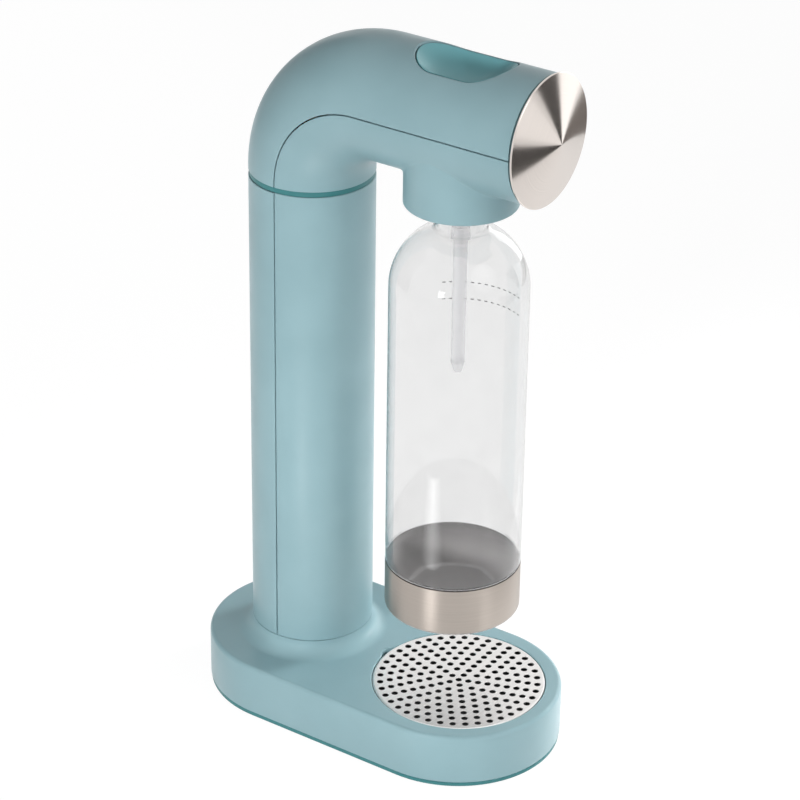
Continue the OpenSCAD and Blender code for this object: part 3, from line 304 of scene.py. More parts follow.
rim_line = np.vstack([[(well_edge + 0.0004, base_top)],
                      arc(well_edge, base_top - well_edge, well_edge, 90, 180, 5)])
rim = []
for grow, z in rim_line:
    long_side, notch_side, short_side = well_rim(grow)
    rim.append(at(np.vstack([long_side[:-1], notch_side[:-1]]), z))
rim = np.stack(rim)
long_side, notch_side, short_side = well_rim(0)
drop = [quads(np.stack([at(line, z) for z in levels])) for line, levels in (
    (long_side, (base_top - well_edge, notch_low, well_low)),
    (notch_side, (base_top - well_edge, notch_low)),
    (short_side, (notch_low, well_low)))]
ledge = np.vstack([notch_side, short_side[::-1][1:-1]])
well_floor = np.vstack([long_side[:-1], short_side[:-1]])
base = piece("base", [
    quads(side, round_v=True), quads(skirting, round_u=True), quads(rim, round_v=True), *drop,
    flat(side[-1, :, :2], [skirting[:, 0, :2], rim[0, :, :2]], base_top),
    flat(side[0, :, :2], [skirting[:, -1, :2]], base_low),
    cap(at(ledge, notch_low)), cap(at(well_floor, well_low))])
fix(base, "housing", "body_teal", teal, "base_shell")


# Drip pan: a round black plastic dish that stands in the base's well and lifts out for emptying.
# Its wall and floor are one thin moulding with rounded corners.
black_plastic = moulded("black plastic", tone(34, 35, 36), tone(40, 41, 42), 0.45, 2500, 0.00002)
pan_low, pan_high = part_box("drip_pan")
pan_r, pan_wall, pan_foot, pan_corner = 0.0494, 0.0016, 0.003, 0.002
pan_in, pan_floor = pan_r - pan_wall, pan_low.z + pan_wall
pan_line = np.vstack([[(0, pan_low.z)], arc(pan_r - pan_foot, pan_low.z + pan_foot, pan_foot, -90, 0, 6),
                      arc(pan_r - pan_wall / 2, pan_high.z - pan_wall / 2, pan_wall / 2, 0, 180, 6),
                      arc(pan_in - pan_corner, pan_floor + pan_corner, pan_corner, 0, -90, 5),
                      [(0, pan_floor)]])
pan = piece("pan", [quads(turned(pan_line, 0, well_y), round_u=True)])
fix(pan, "drip_pan", "black_plastic", black_plastic, "drip_pan")


# Drip grid: a round plate of pale brushed steel with a turned-down edge and rings of punched holes.
# It lies loose in the well over the pan, almost level with the base's top.
grid_low, grid_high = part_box("drip_grid")
grid_r, grid_t, grid_edge, sheet = 0.051, 0.0013, 0.0009, 0.0006
hole_r, hole_edge, ring_count, ring_step, ring_start = 0.0019, 0.00015, 8, 0.0058, 218.6
spots = [np.zeros((1, 2))]
for ring in range(1, ring_count + 1):
    count = 5 * ring
    a = np.radians(ring_start + np.arange(count) * 360 / count)
    spots.append(ring_step * ring * np.stack([np.cos(a), np.sin(a)], 1))
spots = np.concatenate(spots) + (0, well_y)
corner = arc(0, 0, 1, 0, 360, 16)[:-1]
grid_face, grid_back, grid_in = grid_high.z, grid_high.z - sheet, grid_r - grid_t
grid_line = np.vstack([[(grid_r - grid_edge - hold, grid_face)],
                       arc(grid_r - grid_edge, grid_face - grid_edge, grid_edge, 90, 0, 6),
                       [(grid_r, grid_low.z), (grid_in, grid_low.z), (grid_in, grid_back)]])
lip = turned(grid_line, 0, well_y, 160)
punch = [(hole_r + hole_edge, grid_face), (hole_r, grid_face - hole_edge), (hole_r, grid_back)]
punched = [quads(np.stack([at(spot + r * corner, z) for r, z in punch]), round_v=True) for spot in spots]
face_holes = [spot + (hole_r + hole_edge) * corner for spot in spots]
back_holes = [spot + hole_r * corner for spot in spots]
grid = piece("grid", [quads(lip, round_u=True), *punched, flat(lip[:, 0, :2], face_holes, grid_face),
                      flat(lip[:, -1, :2], back_holes, grid_back)])
grid_steel = plated("brushed grid steel", tone(226, 224, 222), tone(240, 238, 236), 0.4, (1, 30, 30))
fix(grid, "drip_grid", "brushed_steel", grid_steel, "drip_grid")


# Spine: a long channel of zinc-plated steel inside the column that carries the gas valve's bracket.
# Its foot flange is screwed to the bottom plate; a rubber pad lies under the gas cylinder.
merged("spine", "housing", "zinc_steel", zinc)
merged("spine_screws", "housing", "zinc_steel", zinc)
merged("cylinder_pad", "housing", "black_rubber", rubber)


# Column: two half tubes of pale teal plastic that meet in a fine line down each side.
# The front half is fixed to the spine; the back half is a cover with snap fingers and pulls off for a
# new gas cylinder. A dark teal ring closes them at the top.
half_gap, soft_edge, end_edge = 0.00035, 0.0003, 0.0003


def half_tube(radius, inside, steps=48):
    """Outline of a half tube as (across, outward): outer arc, soft corner, inner arc, soft corner."""
    middle = half_gap + soft_edge
    reach = math.sqrt((radius - soft_edge) ** 2 - middle ** 2)
    last = math.atan2(reach, middle)
    inner = math.acos(half_gap / inside)
    a, b = np.linspace(-last, last, steps + 1), np.linspace(inner, -inner, steps + 1)
    c = np.linspace(last, np.pi, 5)[1:]
    corner = np.stack([reach + soft_edge * np.sin(c), middle + soft_edge * np.cos(c)], 1)
    return (np.stack([radius * np.sin(a), radius * np.cos(a)], 1), corner,
            np.stack([inside * np.sin(b), inside * np.cos(b)], 1), corner[::-1] * (-1, 1))


def drawn(loops):
    """Closed outlines of equal length carried from place to place, with flat faces at both ends."""
    return [quads(loops, round_v=True), cap(loops[0]), cap(loops[-1])]


def half_column(side, low, high):
    """Half of the column's tube between two heights; its end edges are eased inwards."""
    rows = []
    for inset, z in ((end_edge, low), (0, low + end_edge), (0, high - end_edge), (end_edge, high)):
        plan = np.concatenate(half_tube(column_r - inset, column_in))
        rows.append(at(plan * (1, side) + (0, column_y), z))
    return drawn(np.stack(rows))


front_low, front_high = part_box("column_front_shell")
front = piece("column_front", half_column(-1, front_low.z, front_high.z))
fix(front, "housing", "body_teal", teal, "column_front_shell")
cover_low, cover_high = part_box("column_back_cover")
finger = np.array([(0.0306, -0.006), (0.0318, -0.006), (0.032, 0.006), (0.0335, 0.012), (0.0304, 0.012)])
finger_h = 0.01
snaps = []
for snap_side in (-1, 1):
    plan = finger * (snap_side, 1) + (0, column_y)
    for snap_z in (cover_low.z + 0.03, cover_high.z - 0.04):
        snaps += drawn(np.stack([at(plan, snap_z), at(plan, snap_z + finger_h)]))
cover = piece("column_cover", half_column(1, cover_low.z, cover_high.z) + snaps)
fix(cover, "back_cover", "body_teal", teal, "column_back_cover")
band_low, band_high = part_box("column_band")
band_in, band_r, band_edge = 0.0318, 0.0354, 0.0003
band_line = np.vstack([[(band_in, band_low.z)],
                       arc(band_r - band_edge, band_low.z + band_edge, band_edge, -90, 0, 3),
                       arc(band_r - band_edge, band_high.z - band_edge, band_edge, 0, 90, 3),
                       [(band_in, band_high.z)]])
band = piece("band", [quads(turned(band_line, 0, column_y), True, True)])
fix(band, "housing", "trim_teal", dark_teal, "column_band")


# Gas cylinder: a drawn aluminium bottle that stands in the column and screws up into the valve block.
# Its brass valve holds a steel pin on a spring; a rubber ring seals it against the block.
aluminium = plated("drawn aluminium", tone(196, 198, 202), tone(212, 214, 217), 0.34, (1, 1, 0.05))
brass = plated("turned brass", tone(196, 158, 86), tone(214, 176, 102), 0.28, (1, 1, 20))
bright = plated("ground steel", tone(190, 190, 190), tone(208, 208, 207), 0.2, (1, 1, 12))
wire = plated("spring wire", tone(150, 150, 152), tone(172, 172, 173), 0.26, (6, 6, 6))


def sprung(node, body):
    """A wire spring: a merged copy of its CAD solid, with a mesh of its own."""
    made = merged(node, body, "spring_steel", wire, 60)
    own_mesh(made)


merged("co2_cylinder", "cylinder", "cylinder_metal", aluminium)
merged("cylinder_valve", "cylinder", "brass", brass)
merged("cylinder_pin", "valve_pin", "bright_steel", bright)
sprung("pin_spring", "cylinder")
merged("cylinder_seal", "cylinder_seal", "black_rubber", rubber)


# Gas valve: a brass block on a bent steel bracket that is screwed to the spine, with a steel plunger.
# A steel lever rocks on a pin in the block's ears and pushes the plunger down on the cylinder's pin.
# A thin plastic tube between two fittings takes the gas forward to the nozzle.
merged("valve_bracket", "housing", "zinc_steel", zinc)
merged("bracket_screws", "housing", "zinc_steel", zinc)
merged("valve_block", "housing", "brass", brass)
merged("plunger", "plunger", "bright_steel", bright)
merged("plunger_seal", "plunger", "black_rubber", rubber)
sprung("plunger_spring", "housing")
merged("lever", "lever", "zinc_steel", zinc)
merged("lever_pin", "housing", "bright_steel", bright)
pale_plastic = moulded("pale plastic", tone(226, 227, 227), tone(233, 234, 234), 0.38, 2500, 0.00001)
merged("gas_fittings", "housing", "pale_plastic", pale_plastic)
merged("gas_tube", "housing", "pale_plastic", pale_plastic)


# Head: two half shells of pale teal plastic that meet along the middle of the bend and of the arm.
# The lower one carries the round boss over the bottle, the upper one has the button's opening.
# Four screws join them from below, through posts that are moulded inside both.
bend_y, bend_z, bend_r, arm_z, arm_end = -0.0005, 0.3375, 0.053, 0.3905, -0.0999
head_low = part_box("head_upper_shell")[0].z
arc_steps, arm_steps, button_y, bottle_y = 48, 40, -0.0495, -0.048


def head_path():
    """Stations up the stub and round the bend: centre point, direction from the bend's middle, inset."""
    a = np.radians(np.linspace(0, 90, 37))
    away = np.stack([np.cos(a), np.sin(a)], 1)
    bend = (bend_y, bend_z) + bend_r * away
    stub = [(column_y, head_low), (column_y, head_low + end_edge)]
    inset = np.zeros(len(stub) + len(bend))
    inset[0] = end_edge
    return np.vstack([stub, bend]), np.vstack([[(1, 0), (1, 0)], away]), inset


def bent(side):
    """The half tube carried up the stub and round the bend: side 1 is the outer half, -1 the inner."""
    loops = []
    for (y, z), (away_y, away_z), inset in zip(*head_path()):
        across, outward = np.concatenate(half_tube(column_r - inset, column_in)).T
        loops.append(np.stack([across, y + side * outward * away_y, z + side * outward * away_z], 1))
    return [quads(np.stack(loops), round_v=True), cap(loops[0])]


def border():
    """The arm half's outer and inner edge, (angle from its middle line, y): back, right, end, left."""
    outer_arc, _, inner_arc, _ = half_tube(column_r, column_in)
    along = np.linspace(bend_y, arm_end, arm_steps + 1)
    edges = []
    for a in (np.arctan2(*outer_arc.T), np.arctan2(*inner_arc.T)[::-1]):
        edges.append(np.vstack([
            np.stack([a, np.full(len(a), bend_y)], 1),
            np.stack([np.full(arm_steps, a[-1]), along[1:]], 1),
            np.stack([a[::-1][1:], np.full(len(a) - 1, arm_end)], 1),
            np.stack([np.full(arm_steps - 1, a[0]), along[::-1][1:-1]], 1)]))
    return edges


def on_arm(side, radius, angle, y):
    """Points on the arm's round surface at an angle from its crest or from its lowest line."""
    return np.stack([radius * np.sin(angle), np.broadcast_to(y, np.shape(angle)),
                     arm_z + side * radius * np.cos(angle)], -1)


def straight(side, outer_hole, inner_hole):
    """The arm's half shell: straight lines over each skin from hole to border, and the joined edges."""
    outer, inner = border()
    t = np.linspace(0, 1, 17)[:, None, None] ** 1.4
    skins = [on_arm(side, radius, *np.moveaxis((1 - t) * hole + t * edge, 2, 0))
             for radius, hole, edge in ((column_r, outer_hole, outer), (column_in, inner_hole, inner))]
    ring = np.append(np.arange(arc_steps, len(outer)), 0)
    corner = half_tube(column_r, column_in)[1]
    share = np.linspace(0, 1, len(corner) + 2)[1:-1, None]
    turn, place = outer[ring].T
    edges = on_arm(side, column_r + (column_in - column_r) * share,
                   turn + (inner[ring, 0] - turn) * share, place)
    for part, mirror in ((slice(None, arm_steps + 1), 1), (slice(-arm_steps - 1, None), -1)):
        edges[:, part, 0], edges[:, part, 2] = mirror * corner[:, :1], arm_z + side * corner[:, 1:]
    joint = np.concatenate([skins[0][-1:, ring], edges, skins[1][-1:, ring]])
    return [quads(skin, round_v=True) for skin in skins] + [quads(joint)]


def towards(dx, dy, radius, half):
    """Where lines from a round-ended outline's middle meet it, as centres and outward directions."""
    reach = np.hypot(dx, dy)
    dx, dy = dx / reach, dy / reach
    level = radius * dy / np.maximum(np.abs(dx), 1e-9)
    end = half * np.sign(dy)
    far = dy * end + np.sqrt((dy * end) ** 2 - half ** 2 + radius ** 2)
    on_side = np.abs(level) <= half
    centre_y = np.where(on_side, level, end)
    out = np.where(on_side[:, None], np.stack([np.sign(dx), 0 * dx], 1),
                   np.stack([far * dx, far * dy - end], 1) / radius)
    return np.stack([0 * dx, centre_y], 1), out


outer_edge, inner_edge = border()
button_round, button_half, opening_edge = 0.0197, 0.00965, 0.001
middle, outwards = towards(outer_edge[:, 0] * column_r, outer_edge[:, 1] - button_y,
                           button_round, button_half)
middle = middle + (0, button_y)
a = np.radians(np.linspace(0, 90, 6))
opening = []
for grow, depth in zip(opening_edge * (1 - np.sin(a)), opening_edge * (1 - np.cos(a))):
    plan = middle + (button_round + grow) * outwards
    opening.append(at(plan, arm_z + np.sqrt(column_r ** 2 - plan[:, 0] ** 2) - depth))
plan = middle + button_round * outwards
opening.append(at(plan, arm_z + np.sqrt(column_in ** 2 - plan[:, 0] ** 2)))
opening = np.stack(opening)
outer_hole = np.stack([np.arcsin(opening[0, :, 0] / column_r), opening[0, :, 1]], 1)
inner_hole = np.stack([np.arcsin(plan[:, 0] / column_in), plan[:, 1]], 1)
upper = piece("head_upper", bent(1) + straight(1, outer_hole, inner_hole)
              + [quads(opening, round_v=True)])
post_r, guide_post_r, guide_x, guide_top = 0.0045, 0.0035, 0.0269, 0.403
post_spots = [(x, y) for y in (-0.0895, -0.0105) for x in (-0.014, 0.014)]


def post(side, x, y, radius, start):
    """A round post from a level start to the middle of the arm's wall, whose curve its end follows."""
    a = np.linspace(0, 2 * np.pi, 36, endpoint=False)[:, None]
    r = radius * np.array([0, 1, 1, 0])
    post_x, post_y = x + r * np.cos(a), y + r * np.sin(a)
    wall_z = arm_z + side * np.sqrt(((column_r + column_in) / 2) ** 2 - post_x ** 2)
    post_z = np.where([True, True, False, False], start, wall_z)
    return quads(np.stack([post_x, post_y, post_z], 2), round_u=True)


def worked(made, action, rods):
    """Joins rods to a shell or drills them out, and drops the points that this leaves along edges."""
    tool = piece("rods", rods)
    step = made.modifiers.new("rods", "BOOLEAN")
    step.object, step.operation, step.solver = tool, action, "EXACT"
    shell = bpy.data.meshes.new_from_object(made.evaluated_get(bpy.context.evaluated_depsgraph_get()))
    made.modifiers.clear()
    made.data = shell
    work = bmesh.new()
    work.from_mesh(shell)
    bmesh.ops.dissolve_verts(work, verts=[v for v in work.verts if len(v.link_edges) == 2])
    work.to_mesh(shell)
    work.free()
    welded(shell, 35)
    bpy.data.objects.remove(tool)


worked(upper, "UNION", [post(1, x, y, post_r, arm_z + half_gap) for x, y in post_spots]
       + [post(1, x, button_y, guide_post_r, guide_top) for x in (-guide_x, guide_x)])
fix(upper, "housing", "body_teal", teal, "head_upper_shell")

boss_r, boss_z, boss_in, boss_hole, boss_floor = 0.032, 0.3407, 0.0295, 0.0203, 0.0026
fillet, boss_edge, hole_ease = 0.0025, 0.0012, 0.0003
# The fillet is rolled by a ball that touches arm and boss: an arc from one touching point to the other.
way = np.arctan2(outer_edge[:, 0] * column_r, outer_edge[:, 1] - bottle_y)
sine, cosine = np.sin(way), np.cos(way)
ball_x, ball_y = (boss_r + fillet) * sine, bottle_y + (boss_r + fillet) * cosine
ball_drop = np.sqrt((column_r + fillet) ** 2 - ball_x ** 2)
to_arm = np.stack([-ball_x, 0 * ball_x, ball_drop], 1) / (column_r + fillet)
to_boss = np.stack([-sine, -cosine, 0 * sine], 1)
swing = np.arccos((to_arm * to_boss).sum(1))[:, None]
share = np.linspace(0, 1, 9)[:, None, None]
blend = np.stack([ball_x, ball_y, arm_z - ball_drop], 1) + fillet * (
    np.sin((1 - share) * swing) * to_arm + np.sin(share * swing) * to_boss) / np.sin(swing)
boss_line = np.vstack([[(boss_r, boss_z + 0.004)],
                       arc(boss_r - boss_edge, boss_z + boss_edge, boss_edge, 0, -90, 6),
                       [(boss_r - boss_edge - hold, boss_z)],
                       arc(boss_hole + hole_ease, boss_z + hole_ease, hole_ease, -90, -180, 3),
                       [(boss_hole, boss_z + boss_floor), (boss_in, boss_z + boss_floor)]])
ring_way = np.stack([sine, cosine], 1)
boss = np.stack([at(r * ring_way + (0, bottle_y), z) for r, z in boss_line])
mouth_x, mouth_y = boss_in * sine, bottle_y + boss_in * cosine
mouth = np.stack([mouth_x, mouth_y, arm_z - np.sqrt(column_in ** 2 - mouth_x ** 2)], 1)
outer_hole = np.stack([np.arcsin(ball_x / (column_r + fillet)), ball_y], 1)
inner_hole = np.stack([np.arcsin(mouth_x / column_in), mouth_y], 1)
lower = piece("head_lower", bent(-1) + straight(-1, outer_hole, inner_hole)
              + [quads(np.concatenate([blend, boss, mouth[None]]), round_v=True)])
head_room, shank_room, head_h, screw_drop, screw_ring = 0.00285, 0.00155, 0.0016, 0.014, 0.024
ring_turn = np.radians((45, 135, 225, 315))
ring_spots = screw_ring * np.stack([np.cos(ring_turn), np.sin(ring_turn)], 1) + (0, bottle_y)


def drill(x, y, low, seat, high):
    """A stepped rod: as wide as a screw's head up to its seat, then as wide as its shank."""
    line = [(0, low), (head_room, low), (head_room, seat),
            (shank_room, seat), (shank_room, high), (0, high)]
    return quads(turned(line, x, y, 40), round_u=True)


worked(lower, "UNION", [post(-1, x, y, post_r, arm_z - half_gap) for x, y in post_spots])
below_arm, ring_high = arm_z - 1.1 * column_r, boss_z + 2 * boss_floor
worked(lower, "DIFFERENCE", [drill(x, y, below_arm, arm_z - screw_drop, arm_z) for x, y in post_spots]
       + [drill(x, y, boss_z - head_h, boss_z + head_h, ring_high) for x, y in ring_spots])
fix(lower, "housing", "body_teal", teal, "head_lower_shell")
merged("head_screws", "housing", "zinc_steel", zinc)


# Button: a moulded finger plate of teal plastic with a deep rounded dish, in the arm's opening with a
# fine gap all round. Its stem slides in a pale plastic guide on two wire springs, and the guide hangs
# from the upper shell on two screws.
# Painted light: the button is the body's teal made greener and more saturated, painting the light that
# bounces inside the dish.
dish_teal_painted_bounce = moulded("button teal plastic, painted bounce light", tone(113, 174, 181), tone(119, 180, 187),
                    0.4, 3000, 0.000012, 0.35)
button_low, button_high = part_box("button")
plate_low, plate_gap, plate_edge, rim_drop = 0.404, 0.0007, 0.0003, 0.0004
dish_low, dish_power = 0.413, 2.4
middle, outwards = stadium(button_half, 48, 20)
middle = middle + (0, button_y)
crest = button_high.z - rim_drop - arm_z


def plate_rim(inset):
    """The button's outline, drawn in by an amount, at the height of the arm's round surface."""
    plan = middle + (button_round - plate_gap - inset) * outwards
    return plan, arm_z + np.sqrt(crest ** 2 - plan[:, 0] ** 2)


# The dish rises from its lowest point to the rim with a power of the way out.
edge_plan, edge_z = plate_rim(plate_edge)
share = np.linspace(0, 1, 33)[:, None, None]
dish_plan = (0, button_y) + share * (edge_plan - (0, button_y))
dish_z = dish_low + (edge_z - dish_low) * share[:, :, 0] ** dish_power
dish = np.concatenate([dish_plan, dish_z[:, :, None]], 2)
a = np.radians(np.linspace(0, 90, 5))[1:]
insets, drops = plate_edge * (1 - np.sin(a)), plate_edge * (1 - np.cos(a))
ease = [at(plate_rim(inset)[0], edge_z - down) for inset, down in zip(insets, drops)]
sides = np.stack([*ease, at(plate_rim(0)[0], plate_low)])
stem_r, stem_high = 0.004, plate_low + 0.0005
stem_line = [(0, button_low.z), (stem_r, button_low.z), (stem_r, stem_high), (0, stem_high)]
button = piece("button_plate", [quads(np.concatenate([dish, sides]), round_v=True), cap(sides[-1]),
                                quads(turned(stem_line, 0, button_y, 32), round_u=True)])
fix(button, "button", "body_teal", dish_teal_painted_bounce, "button")
merged("button_guide", "housing", "pale_plastic", pale_plastic)
merged("guide_screws", "housing", "zinc_steel", zinc)
sprung("button_springs", "housing")


# Front disc: a shallow cone of spun stainless steel with a radial sheen that closes the arm's end.
# It is pressed on a dark carrier that plugs into the arm, which leaves a thin dark gap behind its rim.
def from_axis(tree, where, across, shift):
    """Distance from an axis: the length of the coordinates across it, shifted to start at the axis."""
    made = tree.nodes.new("ShaderNodeVectorMath")
    made.operation = "LENGTH"
    tree.links.new(mapped(tree, where, across, shift), made.inputs[0])
    return made.outputs["Value"]


def lathe_sheen(tree, shader, axis):
    """The stretched shine of fine marks that run round an axis."""
    shader.inputs["Anisotropic"].default_value = 0.9
    shader.inputs["Anisotropic Rotation"].default_value = 0.25
    marks = tree.nodes.new("ShaderNodeTangent")
    marks.direction_type, marks.axis = "RADIAL", axis
    tree.links.new(marks.outputs["Tangent"], shader.inputs["Tangent"])


disc_steel, tree, shader, where = shading("spun steel")
rings = tree.nodes.new("ShaderNodeTexNoise")
rings.noise_dimensions = "1D"
rings.inputs["Scale"].default_value = 2600
rings.inputs["Detail"].default_value = 4
tree.links.new(from_axis(tree, where, (1, 0, 1), (0, 0, -arm_z)), rings.inputs["W"])
disc_tone = spread(tree, rings.outputs["Fac"], tone(210, 202, 196), tone(226, 218, 212))
tree.links.new(disc_tone, shader.inputs["Base Color"])
tree.links.new(spread(tree, rings.outputs["Fac"], grey(0.17), grey(0.21)), shader.inputs["Roughness"])
shader.inputs["Metallic"].default_value = 1.0
lathe_sheen(tree, shader, "Y")
disc_low, disc_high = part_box("front_disc")
disc_r, disc_back, disc_peak = 0.0373, -disc_high.y, -disc_low.y
disc_rim, disc_edge, back_edge, disc_hollow = 0.0011, 0.0003, 0.0002, 0.0066
cone_r = np.linspace(0.0004, disc_r - disc_edge, 24)
cone = np.stack([cone_r, disc_peak + (disc_back + disc_rim - disc_peak) * cone_r / disc_r], 1)
disc_line = np.vstack([[(0, disc_peak)], cone,
                       [(disc_r, disc_back + disc_rim - disc_edge), (disc_r, disc_back + back_edge),
                        (disc_r - back_edge, disc_back), (disc_r - 0.001, disc_back),
                        (0, disc_back + disc_hollow)]])
disc_x, disc_z, disc_y = np.moveaxis(turned(disc_line, 0, 0, 192), 2, 0)
disc = piece("disc", [quads(np.stack([disc_x, -disc_y, arm_z + disc_z], 2), round_u=True)], 25)
fix(disc, "housing", "brushed_steel", disc_steel, "front_disc")
merged("disc_carrier", "housing", "trim_teal", dark_teal)


# Bottle socket: a pale plastic ring with an inside thread, screwed up into the boss from below.
# The bottle's neck screws into it against a rubber ring. A brass block above it holds the gas nozzle,
# a thin milky tube with a collar and a pointed end, whose wall lets most of the light through.
merged("bottle_socket", "housing", "pale_plastic", pale_plastic)
merged("socket_screws", "housing", "zinc_steel", zinc)
merged("neck_seal", "neck_seal", "black_rubber", rubber)
merged("nozzle_block", "housing", "brass", brass)
milky = moulded("milky plastic", tone(206, 206, 208), tone(212, 212, 214), 0.3, 2500, 0.000005)
milky.node_tree.nodes["Principled BSDF"].inputs["Alpha"].default_value = 0.35
nozzle_low, nozzle_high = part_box("nozzle_tube")
tip_low, tip_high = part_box("nozzle_tip")
nozzle_r, nozzle_in, collar_r, collar_edge = 0.004, 0.0015, 0.0052, 0.0004
collar_low, collar_high = 0.32, 0.3275
nozzle_line = np.vstack([[(nozzle_in, nozzle_low.z), (nozzle_r, nozzle_low.z), (nozzle_r, collar_low)],
                         arc(collar_r - collar_edge, collar_low + collar_edge, collar_edge, -90, 0, 3),
                         arc(collar_r - collar_edge, collar_high - collar_edge, collar_edge, 0, 90, 3),
                         [(nozzle_r, collar_high), (nozzle_r, nozzle_high.z),
                          (nozzle_in, nozzle_high.z)]])
nozzle = piece("nozzle", [quads(turned(nozzle_line, 0, bottle_y, 64), True, True)])
fix(nozzle, "housing", "pale_plastic", milky, "nozzle_tube")
tip_in, tip_r, tip_edge = 0.0006, 0.0024, 0.0005
tip_line = np.vstack([[(tip_in, tip_high.z), (tip_in, tip_low.z)],
                      arc(tip_r - tip_edge, tip_low.z + tip_edge, tip_edge, -90, -10, 4),
                      [(nozzle_r, tip_high.z)]])
tip = piece("nozzle_end", [quads(turned(tip_line, 0, bottle_y, 64), True, True)])
fix(tip, "housing", "pale_plastic", milky, "nozzle_tip")


# Relief valve: a small brass body on the nozzle block, with a black plastic poppet that a wire spring
# holds shut. It lets gas out if the bottle's pressure climbs too far.
merged("relief_body", "housing", "brass", brass)
merged("relief_poppet", "relief_poppet", "black_plastic", black_plastic)
sprung("relief_spring", "housing")


# Bottle: a blow-moulded vessel of clear plastic with a round shoulder and a threaded neck.
# Its foot is set in a thin cup of brushed steel, bright outside and duller inside. Its inside is
# painted lighter towards the floor as painted light, and its top edge carries a painted shadow line.
# Two dashed fill lines are printed near the shoulder.
clear, tree, shader, where = shading("clear plastic")
clear_tone = spread(tree, noise(tree, where, 60), tone(243, 243, 243), tone(245, 245, 245))
tree.links.new(clear_tone, shader.inputs["Base Color"])
tree.links.new(spread(tree, noise(tree, where, 140), grey(0.02), grey(0.05)), shader.inputs["Roughness"])
shader.inputs["Transmission Weight"].default_value = 1.0
shader.inputs["IOR"].default_value = 1.46
vessel_low, vessel_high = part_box("bottle_vessel")
vessel_r, vessel_foot, foot_top, wall = 0.0393, 0.0384, 0.1173, 0.0005
neck_r, mouth_r, shoulder_z = 0.015, 0.0126, 0.29007
foot_round, inner_round, step_edge, inner_step, lip_edge = 0.004, 0.003, 0.0004, 0.0005, 0.0012


def neck_bend(dome, neck, bend):
    """The rounding from a dome to the neck on it: its middle, and the angle where it meets the dome."""
    r = neck + bend
    rise = math.sqrt((dome + bend) ** 2 - r ** 2)
    return r, shoulder_z + rise, math.degrees(math.atan2(rise, r))


inner_r, outer_bend, inner_bend = vessel_r - wall, 0.003, 0.005
inner_foot, inner_low, side_low, side_high = vessel_foot - wall, vessel_low.z + wall, 0.13, 0.28
knee_r, knee_z, knee_turn = neck_bend(vessel_r, neck_r, outer_bend)
inner_knee_r, inner_knee_z, inner_turn = neck_bend(inner_r, mouth_r, inner_bend)
upright = np.stack([np.zeros(12), np.linspace(side_low, side_high, 12)], 1)
vessel_line = np.vstack([
    [(0, vessel_low.z)], arc(vessel_foot - foot_round, vessel_low.z + foot_round, foot_round, -90, 0, 8),
    [(vessel_foot, foot_top - 0.001)],
    arc(vessel_r - step_edge, foot_top + step_edge, step_edge, -90, 0, 3),
    upright + (vessel_r, 0), arc(0, shoulder_z, vessel_r, 0, knee_turn, 32),
    arc(knee_r, knee_z, outer_bend, 180 + knee_turn, 180, 8)[1:],
    arc(neck_r - lip_edge, vessel_high.z - lip_edge, lip_edge, 0, 90, 4),
    arc(mouth_r + lip_edge, vessel_high.z - lip_edge, lip_edge, 90, 180, 4),
    arc(inner_knee_r, inner_knee_z, inner_bend, 180, 180 + inner_turn, 8),
    arc(0, shoulder_z, inner_r, inner_turn, 0, 32)[1:],
    upright[::-1] + (inner_r, 0), [(inner_r, foot_top + 0.0012)],
    arc(inner_foot - inner_step, foot_top - inner_step, inner_step, 60, 0, 3),
    arc(inner_foot - inner_round, inner_low + inner_round, inner_round, 0, -90, 8), [(0, inner_low)]])
# The thread is a four-sided ridge that climbs one pitch in each turn.
thread_turns, thread_pitch, thread_depth, thread_lead, thread_root = 1.5, 0.004, 0.0012, 0.004, -0.0002
ridge = 0.3 * thread_pitch * np.array([-1, 1, 0.5, -0.5])
ridge_r = neck_r + np.array([thread_root, thread_root, thread_depth, thread_depth])
a = np.linspace(0, 2 * np.pi * thread_turns, 73)[:, None]
thread_low = vessel_high.z - thread_lead - thread_turns * thread_pitch
ridge_z = thread_low + thread_pitch * a / (2 * np.pi) + ridge
thread = np.stack([ridge_r * np.cos(a), bottle_y + ridge_r * np.sin(a), ridge_z], 2)
vessel = piece("vessel", [quads(turned(vessel_line, 0, bottle_y, 192), round_u=True),
                          *drawn(thread)], 40)
fix(vessel, "bottle", "clear_plastic", clear, "bottle_vessel")
# The lamps' light passes the clear wall and reaches the cup and the nozzle.
vessel.visible_shadow = False

cup_low, cup_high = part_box("bottle_cup")
cup_r, cup_wall, cup_edge, painted_shade_band, painted_shade_fade = 0.0393, 0.0007, 0.0025, 0.0005, 0.0002
steel, tree, shader, where = shading("brushed cup steel, painted light and shade")
lines = noise(tree, mapped(tree, where, (1, 1, 60)), 22, 5)
reach = from_axis(tree, where, (1, 1, 0), (0, -bottle_y, 0))
parts = tree.nodes.new("ShaderNodeSeparateXYZ")
tree.links.new(where, parts.inputs["Vector"])


def ramped(tree, value, start, end, low=0.0, high=1.0):
    """A value's way from start to end, stretched from low to high."""
    made = tree.nodes.new("ShaderNodeMapRange")
    made.inputs["From Min"].default_value, made.inputs["From Max"].default_value = start, end
    made.inputs["To Min"].default_value, made.inputs["To Max"].default_value = low, high
    tree.links.new(value, made.inputs["Value"])
    return made.outputs["Result"]


def blended(tree, share, first, second):
    """Two colours mixed by a share."""
    made = tree.nodes.new("ShaderNodeMix")
    made.data_type = "RGBA"
    tree.links.new(share, made.inputs["Factor"])
    tree.links.new(first, made.inputs["A"])
    tree.links.new(second, made.inputs["B"])
    return made.outputs["Result"]


